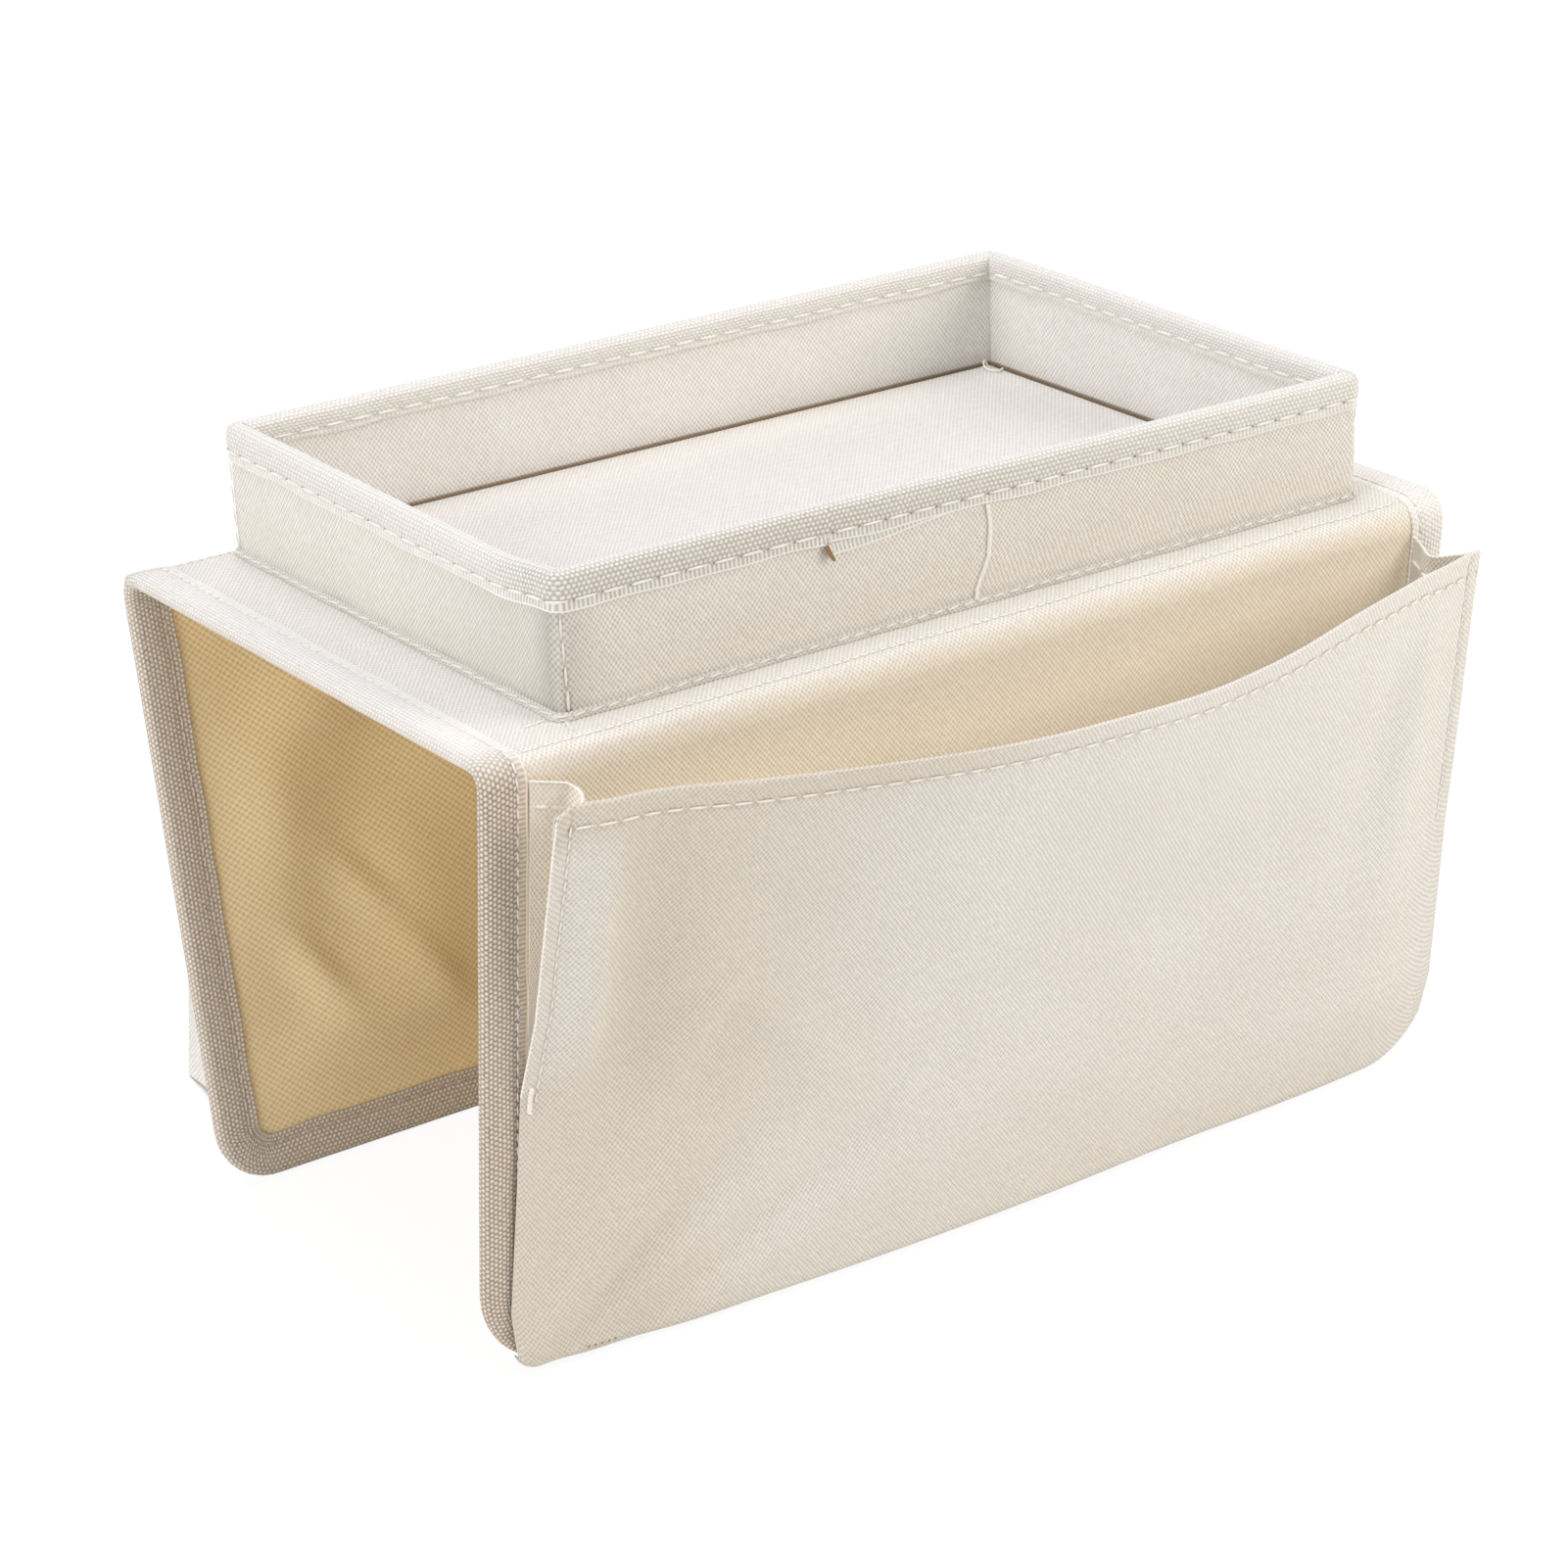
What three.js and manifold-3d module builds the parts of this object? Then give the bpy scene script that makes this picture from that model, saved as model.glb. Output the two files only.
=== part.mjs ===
// Sofa armrest organizer: a sewn cloth saddle that hangs over an armrest. A board-stiffened tray is sewn
// to its top, a bellows pocket to its front flap and a boxed pocket to its rear flap.
// Millimetres, +Z up, +X along the armrest, front towards -Y. The origin is the middle of the lining
// face that lies on the armrest.
import * as THREE from "three";
import { mergeVertices } from "three/addons/utils/BufferGeometryUtils.js";
import Module from "manifold-3d";

// Saddle
const saddleLength = 336; // along the armrest, over the edge tape
const saddleWidth = 192; // across the armrest, outer face to outer face at the two folds
const standHeight = 186; // from the top of the saddle down to the lower edge of both flaps
const foldRadius = 9; // outer face of the cloth where the saddle turns down into a flap
const frontLean = 5; // degrees that the front flap hangs inwards
const rearLean = 10; // degrees that the rear flap hangs inwards
const flapCornerRadius = 28; // lower corners of the flaps, over the edge tape
const sewnShift = 5; // the tray and the front pocket are sewn this far right of the saddle's middle

// Cloth, boards and edge tape
const coverThickness = 0.6; // outer cloth
const boardThickness = 1.6; // stiffener in the saddle top and the flaps
const liningThickness = 0.5; // inner cloth
const layerGap = 0.3; // between layers that are sewn together
const boardInset = 1; // from the cloth's edge to the board
const tapeThickness = 0.9; // one leg of the folded edge tape
const tapeLeg = 11; // how far the tape laps over each face of a flap
const tapeCrown = 2; // how far the folded tape stands past the cloth's edge
const tapePress = 0.15; // how far the tape presses the lining in

// Tray
const trayEndMargin = 28.5; // mean distance from an end of the saddle to the tray's outer cloth
const traySideMargin = 11; // mean distance from a fold's outer face to the tray's outer cloth
const trayHeight = 38.5; // from the saddle top to the top of the rim tape
const trayShift = 3; // the tray is sewn this far behind the saddle's middle
const trayCornerRadius = 1.5; // inside corner of the rim tape
const wallBoardThickness = 2; // stiffeners in the tray walls
const rimLeg = 9.5; // how far the rim tape laps down each side of the wall
const weltHeight = 2.6; // folded seam round the foot of the tray
const weltThickness = 1.2;
const floorBoardThickness = 2; // loose board on the tray floor
const floorClearance = 0.8; // between the floor panel and the rim tape
const floorCornerRadius = 4;
const floorTurnUnder = 14; // cloth folded under the edge of the floor board

// Front pocket, with a pleated gusset at each side
const pocketCloth = 0.8; // thickness of a pocket panel
const pocketMargin = 8; // mean distance from an end of the saddle to the panel, which laps the right tape
const pocketLift = 0.3; // lower edge of the panel above the lower edge of the flap's cloth
const pocketMouthDrop = 3.5; // mouth corners below the end of the fold
const pocketMouthDip = 6; // how much lower the mouth is in its middle
const pocketMouthGap = 14; // mouth corners to the flap
const pocketBow = 31; // how much further the middle of the mouth stands out
const pocketFootBow = 10; // how far the lower edge stands out in its middle
const pocketClearance = 0.6; // lower edge of the panel to the flap's tape
const pocketSeam = 85; // sides sewn to the flap from the foot up to a bar tack
const gussetCloth = 0.5;
const gussetRise = 19; // foot of the gusset above the bar tack
const gussetLeg = 12; // width of each half of the gusset's inward pleat
const gussetInset = 1; // from the side tape to the gusset's edge on the flap

// Rear pocket, with flat gussets and a boxed bottom
const rearPocketInset = 5; // from the end of the saddle to the pocket's side
const rearPocketLift = 28; // lower edge of the panel above the lower edge of the flap's cloth
const rearPocketHeight = 100;
const rearPocketDepth = 27; // panel to flap at the lower edge
const rearPocketMouthGap = 3.5; // panel to flap at the mouth
const rearPocketBow = 8; // how much further the middle of the mouth stands out
const rearPocketSlope = 7; // how much the boxed bottom falls towards the flap

// Facets
const arcSteps = 8; // a quarter turn of tape or fold
const crownSteps = 6; // round the folded edge of a tape
const panelColumns = 18; // across a pocket panel
const panelRows = 9; // up a pocket panel or a gusset

// Values that follow from the driving dimensions
const stack = coverThickness + layerGap + boardThickness + layerGap + liningThickness;
const saddleTop = stack;
const floorLevel = saddleTop - standHeight;
const clothHalfLength = saddleLength / 2 - tapeCrown;
const flatHalfWidth = saddleWidth / 2 - foldRadius; // the flat of the saddle, between the folds
const trayLength = saddleLength - 2 * trayEndMargin;
const trayWidth = saddleWidth - 2 * traySideMargin;
const wallStack = coverThickness + layerGap + wallBoardThickness + layerGap + liningThickness;
const tapeProud = layerGap + tapeThickness; // outer face of a tape over the cloth that it binds
const radians = THREE.MathUtils.degToRad;

const wasm = await Module();
wasm.setup();

// Boolean joins and cuts
function toSolid(geometry) {
  const bare = geometry.clone();
  bare.deleteAttribute("normal");
  bare.deleteAttribute("uv");
  const merged = mergeVertices(bare, 1e-4);
  const vertProperties = merged.attributes.position.array;
  const triVerts = Uint32Array.from(merged.index.array);
  return new wasm.Manifold(new wasm.Mesh({ numProp: 3, vertProperties, triVerts }));
}

function fromSolid(solid) {
  const { vertProperties, triVerts } = solid.getMesh();
  const geometry = new THREE.BufferGeometry();
  geometry.setAttribute("position", new THREE.BufferAttribute(vertProperties, 3));
  geometry.setIndex(new THREE.BufferAttribute(triVerts, 1));
  geometry.computeVertexNormals();
  return geometry;
}

// A closed body through rings of equal length: capped at both ends with the triangles given over a ring,
// or joined into a loop where none are given.
function loft(rings, cap) {
  const count = rings[0].length;
  const index = [];
  const spans = cap ? rings.length - 1 : rings.length;
  for (let i = 0; i < spans; i++) {
    const here = i * count;
    const next = ((i + 1) % rings.length) * count;
    for (let j = 0; j < count; j++) {
      const k = (j + 1) % count;
      index.push(here + j, here + k, next + k, here + j, next + k, next + j);
    }
  }
  if (cap) {
    const end = (rings.length - 1) * count;
    for (const [a, b, c] of cap) index.push(a, c, b, end + a, end + b, end + c);
  }
  const geometry = new THREE.BufferGeometry().setFromPoints(rings.flat());
  geometry.setIndex(enclosedVolume(rings.flat(), index) < 0 ? index.reverse() : index);
  geometry.computeVertexNormals();
  return geometry;
}

// Triangles over a ring whose second half runs back beside its first half.
function bandCap(count) {
  const triangles = [];
  for (let j = 0; j < count / 2 - 1; j++) {
    const back = count - 1 - j;
    triangles.push([j, j + 1, back - 1], [j, back - 1, back]);
  }
  return triangles;
}

// Triangles over a flat outline, turned the way the outline runs.
function outlineCap(outline) {
  const way = Math.sign(THREE.ShapeUtils.area(outline));
  return THREE.ShapeUtils.triangulateShape(outline, []).map(([a, b, c]) => {
    const turn = THREE.ShapeUtils.area([outline[a], outline[b], outline[c]]);
    return Math.sign(turn) === way ? [a, b, c] : [a, c, b];
  });
}

function enclosedVolume(points, index) {
  let sum = 0;
  for (let i = 0; i < index.length; i += 3) {
    const [a, b, c] = [points[index[i]], points[index[i + 1]], points[index[i + 2]]];
    sum += a.dot(new THREE.Vector3().crossVectors(b, c)) / 6;
  }
  return sum;
}

// A section swept along stations, each with an origin and the two directions of the section.
function sweep(section, stations, closed = false) {
  const rings = stations.map(({ at, u, v }) =>
    section.map((p) => at.clone().addScaledVector(u, p.x).addScaledVector(v, p.y)),
  );
  return closed ? loft(rings) : loft(rings, outlineCap(section));
}

// Edge tape folded round a core: x runs out past the core's edge, y runs through it from its outer face.
function tapeSection(core, leg) {
  const middle = core / 2;
  const reach = middle + tapeProud;
  const points = [new THREE.Vector2(-leg, -tapeProud)];
  for (let i = 0; i <= crownSteps; i++) {
    const turn = -Math.PI / 2 + (Math.PI * i) / crownSteps;
    points.push(new THREE.Vector2(tapeCrown * Math.cos(turn), middle + reach * Math.sin(turn)));
  }
  points.push(new THREE.Vector2(-leg, core + tapeProud));
  points.push(new THREE.Vector2(-leg, core + layerGap));
  points.push(new THREE.Vector2(layerGap, core + layerGap));
  points.push(new THREE.Vector2(layerGap, -layerGap));
  points.push(new THREE.Vector2(-leg, -layerGap));
  return points;
}

function roundedRect(length, width, radius) {
  const [x, y] = [length / 2 - radius, width / 2 - radius];
  const shape = new THREE.Shape();
  shape.absarc(x, y, radius, 0, Math.PI / 2);
  shape.absarc(-x, y, radius, Math.PI / 2, Math.PI);
  shape.absarc(-x, -y, radius, Math.PI, 1.5 * Math.PI);
  shape.absarc(x, -y, radius, 1.5 * Math.PI, 2 * Math.PI);
  shape.closePath();
  return shape;
}

function plate(shape, bottom, height) {
  const geometry = new THREE.ExtrudeGeometry(shape, {
    depth: height,
    bevelEnabled: false,
    curveSegments: arcSteps,
  });
  return geometry.translate(0, 0, bottom);
}

const root = new THREE.Group();

function addMesh(parent, name, geometry, material) {
  const mesh = new THREE.Mesh(geometry, material);
  mesh.name = name;
  parent.add(mesh);
  return mesh;
}

function cloth(color) {
  return new THREE.MeshStandardMaterial({ color, roughness: 0.92, metalness: 0 });
}

const creamCloth = cloth(0xe6ded2);
const liningCloth = cloth(0xc7a878);
const creamTape = cloth(0xd9cfc2);
const greyBoard = new THREE.MeshStandardMaterial({ color: 0x9a958c, roughness: 0.8, metalness: 0 });

// Flat of the saddle: cover, board and lining
const flatLength = 2 * clothHalfLength;
const flatWidth = 2 * flatHalfWidth - 2 * layerGap;
const flatSheet = new THREE.Shape().setFromPoints(rectangle(flatLength, flatWidth));
const boardSheet = rectangle(flatLength - 2 * boardInset, flatWidth - 2 * boardInset);

function rectangle(length, width) {
  const [x, y] = [length / 2, width / 2];
  return [
    new THREE.Vector2(-x, -y),
    new THREE.Vector2(x, -y),
    new THREE.Vector2(x, y),
    new THREE.Vector2(-x, y),
  ];
}

// The lining is pressed thinner under the edge tape at both ends, so the face on the armrest is flat.
const seatLength = flatLength - 2 * tapeLeg - 2 * boardInset;
const pressedLining = toSolid(plate(flatSheet, tapePress, liningThickness - tapePress));
const seatSheet = new THREE.Shape().setFromPoints(rectangle(seatLength, flatWidth));
const seatLining = toSolid(plate(seatSheet, 0, liningThickness));
const boardBottom = liningThickness + layerGap;

addMesh(root, "top_lining", fromSolid(pressedLining.add(seatLining)), liningCloth);
addMesh(root, "top_board", plate(new THREE.Shape().setFromPoints(boardSheet), boardBottom, boardThickness), greyBoard);
addMesh(root, "top_cover", plate(flatSheet, saddleTop - coverThickness, coverThickness), creamCloth);

// Edge tape along the two ends of the flat
const saddleTape = tapeSection(stack, tapeLeg);

function endTape(side) {
  const u = new THREE.Vector3(side, 0, 0);
  const v = new THREE.Vector3(0, 0, -1);
  const stations = [-flatWidth / 2, flatWidth / 2].map((y) => ({
    at: new THREE.Vector3(side * clothHalfLength, y, saddleTop),
    u,
    v,
  }));
  return sweep(saddleTape, stations);
}

addMesh(root, "left_top_binding", endTape(-1), creamTape);
addMesh(root, "right_top_binding", endTape(1), creamTape);

// Tray walls: an outer cloth band, four boards and a lining band, standing on the saddle
const tray = new THREE.Group();
tray.position.set(sewnShift, trayShift, saddleTop);
root.add(tray);

const wallRadius = trayCornerRadius + tapeProud + wallStack; // outer face of the cloth at a corner
const wallTop = trayHeight - tapeCrown;
const wallHeight = wallTop - layerGap;

function wallRing(depth) {
  return roundedRect(trayLength - 2 * depth, trayWidth - 2 * depth, wallRadius - depth);
}

function band(outerDepth, innerDepth, bottom, height) {
  const shape = wallRing(outerDepth);
  shape.holes.push(wallRing(innerDepth));
  return plate(shape, bottom, height);
}

const liningDepth = wallStack - liningThickness;
addMesh(tray, "tray_wall_cover", band(0, coverThickness, layerGap, wallHeight), creamCloth);
addMesh(tray, "tray_wall_lining", band(liningDepth, wallStack, layerGap, wallHeight), creamCloth);

const wallBoardHeight = wallHeight - boardInset;
const wallBoardDepth = coverThickness + layerGap + wallBoardThickness / 2;

function wallBoard(name, alongX, side) {
  const length = (alongX ? trayLength : trayWidth) - 2 * wallRadius;
  const size = alongX ? [length, wallBoardThickness] : [wallBoardThickness, length];
  const board = addMesh(tray, name, new THREE.BoxGeometry(...size, wallBoardHeight), greyBoard);
  const reach = side * ((alongX ? trayWidth : trayLength) / 2 - wallBoardDepth);
  board.position.set(alongX ? 0 : reach, alongX ? reach : 0, layerGap + wallBoardHeight / 2);
}

wallBoard("tray_front_board", true, -1);
wallBoard("tray_rear_board", true, 1);
wallBoard("tray_left_board", false, -1);
wallBoard("tray_right_board", false, 1);

// Rim tape: one loop round the top of the walls
function wallLoop(height) {
  const stations = [];
  const up = new THREE.Vector3(0, 0, 1);
  const [x, y] = [trayLength / 2 - wallRadius, trayWidth / 2 - wallRadius];
  [[x, y], [-x, y], [-x, -y], [x, -y]].forEach(([cx, cy], corner) => {
    for (let i = 0; i <= arcSteps; i++) {
      const turn = (Math.PI / 2) * (corner + i / arcSteps);
      const out = new THREE.Vector3(Math.cos(turn), Math.sin(turn), 0);
      const at = new THREE.Vector3(cx, cy, height).addScaledVector(out, wallRadius);
      stations.push({ at, u: up, v: out.clone().negate() });
    }
  });
  return stations;
}

addMesh(tray, "tray_rim_binding", sweep(tapeSection(wallStack, rimLeg), wallLoop(wallTop), true), creamTape);

// Folded seam round the foot of the walls
const weltOuter = -layerGap - weltThickness;
addMesh(tray, "tray_base_welt", band(weltOuter, -layerGap, layerGap, weltHeight), creamCloth);

// Loose floor panel: a board in a cloth cover that is folded under its edges
const floorInset = wallStack + tapeProud + floorClearance;
const floorLength = trayLength - 2 * floorInset;
const floorWidth = trayWidth - 2 * floorInset;
const floorHeight = 2 * coverThickness + 2 * layerGap + floorBoardThickness;

function floorSheet(inset) {
  const radius = Math.max(floorCornerRadius - inset, floorCornerRadius / 4);
  return roundedRect(floorLength - 2 * inset, floorWidth - 2 * inset, radius);
}

function floorCover() {
  const cavityHeight = floorHeight - 2 * coverThickness;
  const block = toSolid(plate(floorSheet(0), layerGap, floorHeight));
  const cavity = toSolid(plate(floorSheet(coverThickness), layerGap + coverThickness, cavityHeight));
  const window = toSolid(plate(floorSheet(floorTurnUnder), 0, layerGap + 2 * coverThickness));
  return fromSolid(block.subtract(cavity).subtract(window));
}

const floorBoardBottom = 2 * layerGap + coverThickness;
const floorBoard = plate(floorSheet(coverThickness + layerGap), floorBoardBottom, floorBoardThickness);
addMesh(tray, "tray_floor_cover", floorCover(), creamCloth);
addMesh(tray, "tray_floor_board", floorBoard, greyBoard);

// One side of the saddle, built as the front and turned half round for the rear. The fold is a strip of
// cloth with no board. The flap hangs from the end of the fold, in a group whose y runs inwards through
// its layers and whose z runs up it, from 0 at the end of the fold.
function makeSide(name, leanDegrees, turn) {
  const side = new THREE.Group();
  side.rotation.z = turn;
  root.add(side);
  const lean = radians(leanDegrees);
  const centre = new THREE.Vector3(0, -flatHalfWidth, saddleTop - foldRadius);
  const seamAngle = layerGap / foldRadius;
  const startAngle = Math.PI / 2 + seamAngle;
  const endAngle = Math.PI + lean - seamAngle;

  const foldDirections = [];
  for (let i = 0; i <= arcSteps; i++) {
    const angle = THREE.MathUtils.lerp(startAngle, endAngle, i / arcSteps);
    foldDirections.push(new THREE.Vector3(0, Math.cos(angle), Math.sin(angle)));
  }
  const onFold = (direction, radius) => centre.clone().addScaledVector(direction, radius);

  const foldThickness = coverThickness + layerGap + liningThickness;
  const foldRing = [
    ...foldDirections.map((direction) => onFold(direction, foldRadius)),
    ...foldDirections.toReversed().map((direction) => onFold(direction, foldRadius - foldThickness)),
  ];
  const foldRings = [-clothHalfLength, clothHalfLength].map((x) => foldRing.map((p) => p.clone().setX(x)));
  addMesh(side, name + "_fold", loft(foldRings, bandCap(foldRing.length)), creamCloth);

  const leftSide = turn ? 1 : -1; // the side that is on the left once the group is turned
  for (const [label, end] of [["left", leftSide], ["right", -leftSide]]) {
    const stations = foldDirections.map((direction) => ({
      at: onFold(direction, foldRadius).setX(end * clothHalfLength),
      u: new THREE.Vector3(end, 0, 0),
      v: direction.clone().negate(),
    }));
    addMesh(side, name + "_fold_" + label + "_binding", sweep(saddleTape, stations), creamTape);
  }

  const flap = new THREE.Group();
  flap.position.copy(onFold(new THREE.Vector3(0, -Math.cos(lean), -Math.sin(lean)), foldRadius));
  flap.rotation.x = lean;
  side.add(flap);
  const middleHeight = flap.position.z + (stack / 2) * Math.sin(lean);
  const flapLength = (middleHeight - floorLevel) / Math.cos(lean) - tapeCrown;
  makeFlap(flap, name, flapLength);
  return { flap, flapLength, leftSide };
}

// Flap outline, closed at the top, with round lower corners
function flapShape(flapLength, inset) {
  const half = clothHalfLength - inset;
  const radius = flapCornerRadius - tapeCrown - inset;
  const [top, bottom] = [-layerGap - inset, -flapLength + inset];
  const shape = new THREE.Shape();
  shape.moveTo(-half, top);
  shape.lineTo(-half, bottom + radius);
  shape.absarc(-half + radius, bottom + radius, radius, Math.PI, 1.5 * Math.PI);
  shape.absarc(half - radius, bottom + radius, radius, 1.5 * Math.PI, 2 * Math.PI);
  shape.lineTo(half, top);
  shape.closePath();
  return shape;
}

function makeFlap(flap, name, flapLength) {
  const layer = (shape, depth, thickness) =>
    plate(shape, 0, thickness).rotateX(Math.PI / 2).translate(0, depth + thickness, 0);
  const boardDepth = coverThickness + layerGap;
  const whole = flapShape(flapLength, 0);
  const board = flapShape(flapLength, boardInset);
  addMesh(flap, name + "_flap_cover", layer(whole, 0, coverThickness), creamCloth);
  addMesh(flap, name + "_flap_board", layer(board, boardDepth, boardThickness), greyBoard);
  addMesh(flap, name + "_flap_lining", layer(whole, stack - liningThickness, liningThickness), liningCloth);

  // The tape runs down one side, round the lower corners and up the other side.
  const inwards = new THREE.Vector3(0, 1, 0);
  const radius = flapCornerRadius - tapeCrown;
  const cornerHeight = -flapLength + radius;
  const stations = [];
  const addStation = (x, z, turn) => {
    const u = new THREE.Vector3(Math.cos(turn), 0, Math.sin(turn));
    stations.push({ at: new THREE.Vector3(x, 0, z).addScaledVector(u, radius), u, v: inwards });
  };
  const cornerX = clothHalfLength - radius;
  addStation(-cornerX, -layerGap, Math.PI);
  for (const [x, from] of [[-cornerX, Math.PI], [cornerX, 1.5 * Math.PI]]) {
    for (let i = 0; i <= arcSteps; i++) addStation(x, cornerHeight, from + (Math.PI / 2) * (i / arcSteps));
  }
  addStation(cornerX, -layerGap, 2 * Math.PI);
  addMesh(flap, name + "_flap_binding", sweep(saddleTape, stations), creamTape);
}

// A pocket panel through columns of points that run up its inner face. The columns stand closer together
// towards the sides. standOff takes the place across the panel, from -1 to 1, and the place up it, from 0 to 1.
function pocketPanel(half, shift, foot, mouth, standOff) {
  const rings = [];
  for (let i = 0; i <= panelColumns; i++) {
    const across = Math.sin(Math.PI * (i / panelColumns - 0.5));
    const x = shift + across * half;
    const inner = [];
    for (let j = 0; j <= panelRows; j++) {
      const up = j / panelRows;
      const z = THREE.MathUtils.lerp(foot(x), mouth(across), up);
      inner.push(new THREE.Vector3(x, -standOff(across, up, z), z));
    }
    const outer = inner.map((p) => p.clone().setY(p.y - pocketCloth));
    rings.push([...inner, ...outer.reverse()]);
  }
  return loft(rings, bandCap(rings[0].length));
}

const crown = (across) => 1 - across * across; // 1 in the middle of a panel, 0 at its sides

// Front pocket: the panel is cut to the flap's lower edge, is sewn to the flap along its foot and the lower
// part of its sides, and bows out to an open mouth.
function makeFrontPocket({ flap, flapLength, leftSide }) {
  const half = saddleLength / 2 - pocketMargin;
  const foot = -flapLength + pocketLift;
  const mouth = -pocketMouthDrop;
  const tack = foot + pocketSeam;
  const cornerRadius = flapCornerRadius - tapeCrown;
  const footStandOff = tapeProud + pocketClearance;
  const footHeight = (x) => {
    const past = Math.max(Math.abs(x) - (clothHalfLength - cornerRadius), 0);
    return foot + cornerRadius - Math.sqrt(cornerRadius ** 2 - past ** 2);
  };
  const sideStandOff = (z) => {
    const open = Math.max((z - tack) / (mouth - tack), 0);
    return THREE.MathUtils.lerp(footStandOff, pocketMouthGap, open);
  };
  const standOff = (across, up, z) => {
    const mouthBow = pocketBow * crown(across) ** 1.25 * up ** 1.3;
    return sideStandOff(z) + mouthBow + pocketFootBow * crown(across) * (1 - up) ** 2;
  };
  const mouthHeight = (across) => mouth - pocketMouthDip * crown(across);
  addMesh(flap, "front_pocket_panel", pocketPanel(half, sewnShift, footHeight, mouthHeight, standOff), creamCloth);

  // Each gusset is one pleat: from the flap in to its fold, and back out to the panel's edge.
  const flapEdge = clothHalfLength - tapeLeg - gussetInset;
  for (const [label, end] of [["left", leftSide], ["right", -leftSide]]) {
    const panelEdge = half + end * sewnShift - layerGap;
    const rings = [];
    for (let j = 0; j <= panelRows; j++) {
      const z = THREE.MathUtils.lerp(tack + gussetRise, mouth, j / panelRows);
      const reach = sideStandOff(z) - layerGap;
      const middle = new THREE.Vector2(flapEdge + panelEdge, layerGap + reach).divideScalar(2);
      const halfSpan = middle.distanceTo(new THREE.Vector2(panelEdge, reach));
      const pleat = Math.sqrt(Math.max(gussetLeg ** 2 - halfSpan ** 2, gussetCloth ** 2));
      const points = [
        [flapEdge, layerGap],
        [middle.x - pleat, middle.y],
        [panelEdge, reach],
        [panelEdge, reach - gussetCloth],
        [middle.x - pleat + 2 * gussetCloth, middle.y],
        [flapEdge, layerGap + gussetCloth],
      ];
      rings.push(points.map(([x, out]) => new THREE.Vector3(end * x, -out, z)));
    }
    addMesh(flap, "front_pocket_" + label + "_gusset", loft(rings, bandCap(rings[0].length)), creamCloth);
  }
}

// Rear pocket: the panel lies close at its mouth and stands off on a boxed bottom at its foot.
function makeRearPocket({ flap, flapLength, leftSide }) {
  const half = saddleLength / 2 - rearPocketInset;
  const foot = -flapLength + rearPocketLift;
  const mouth = foot + rearPocketHeight;
  const sideStandOff = (up) => THREE.MathUtils.lerp(rearPocketDepth, rearPocketMouthGap, up);
  const standOff = (across, up) => sideStandOff(up) + rearPocketBow * crown(across) * up;
  addMesh(flap, "rear_pocket_panel", pocketPanel(half, 0, () => foot, () => mouth, standOff), creamCloth);

  const flapSide = tapeProud + layerGap;
  for (const [label, end] of [["left", leftSide], ["right", -leftSide]]) {
    const wedge = [
      [-flapSide, foot - rearPocketSlope],
      [-flapSide, mouth],
      [layerGap - sideStandOff(1), mouth],
      [layerGap - sideStandOff(0), foot],
    ];
    const rings = [half - pocketCloth, half].map((x) => wedge.map(([y, z]) => new THREE.Vector3(end * x, y, z)));
    addMesh(flap, "rear_pocket_" + label + "_gusset", loft(rings, bandCap(wedge.length)), creamCloth);
  }

  const outerEdge = -rearPocketDepth - pocketCloth;
  const bottom = [
    [-flapSide, foot - rearPocketSlope - layerGap],
    [outerEdge, foot - layerGap],
    [outerEdge, foot - layerGap - pocketCloth],
    [-flapSide, foot - rearPocketSlope - layerGap - pocketCloth],
  ];
  const rings = [-half, half].map((x) => bottom.map(([y, z]) => new THREE.Vector3(x, y, z)));
  addMesh(flap, "rear_pocket_bottom", loft(rings, bandCap(bottom.length)), creamCloth);
}

makeFrontPocket(makeSide("front", frontLean, 0));
makeRearPocket(makeSide("rear", rearLean, Math.PI));

export default root;
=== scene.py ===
"""Sofa armrest organizer: a sewn cloth saddle with a tray on its top and a pocket on each flap."""
import math

import bpy
import numpy as np
from mathutils import Matrix, Vector


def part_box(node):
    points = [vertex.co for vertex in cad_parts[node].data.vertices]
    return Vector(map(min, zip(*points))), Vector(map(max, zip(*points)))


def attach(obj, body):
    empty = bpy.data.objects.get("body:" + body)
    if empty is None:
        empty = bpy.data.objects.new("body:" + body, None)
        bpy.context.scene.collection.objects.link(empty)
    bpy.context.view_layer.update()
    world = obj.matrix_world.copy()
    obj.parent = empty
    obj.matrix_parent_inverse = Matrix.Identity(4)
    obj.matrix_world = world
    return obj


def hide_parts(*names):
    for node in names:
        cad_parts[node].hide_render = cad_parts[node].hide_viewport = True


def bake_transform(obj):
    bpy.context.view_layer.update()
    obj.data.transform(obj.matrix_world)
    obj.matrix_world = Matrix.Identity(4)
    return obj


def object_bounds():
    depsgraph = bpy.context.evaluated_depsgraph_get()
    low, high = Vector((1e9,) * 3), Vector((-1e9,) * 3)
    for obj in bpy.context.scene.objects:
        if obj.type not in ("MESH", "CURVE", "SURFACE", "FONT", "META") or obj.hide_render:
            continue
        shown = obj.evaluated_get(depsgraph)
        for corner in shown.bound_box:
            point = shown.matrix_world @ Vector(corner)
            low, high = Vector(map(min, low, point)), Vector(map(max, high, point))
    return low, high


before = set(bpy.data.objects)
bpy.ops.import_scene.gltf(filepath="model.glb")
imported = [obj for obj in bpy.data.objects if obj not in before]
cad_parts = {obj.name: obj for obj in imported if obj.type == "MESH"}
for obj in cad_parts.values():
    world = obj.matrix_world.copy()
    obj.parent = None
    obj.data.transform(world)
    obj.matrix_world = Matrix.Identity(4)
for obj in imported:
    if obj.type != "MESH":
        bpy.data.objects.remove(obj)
cad_low, cad_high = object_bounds()

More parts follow.
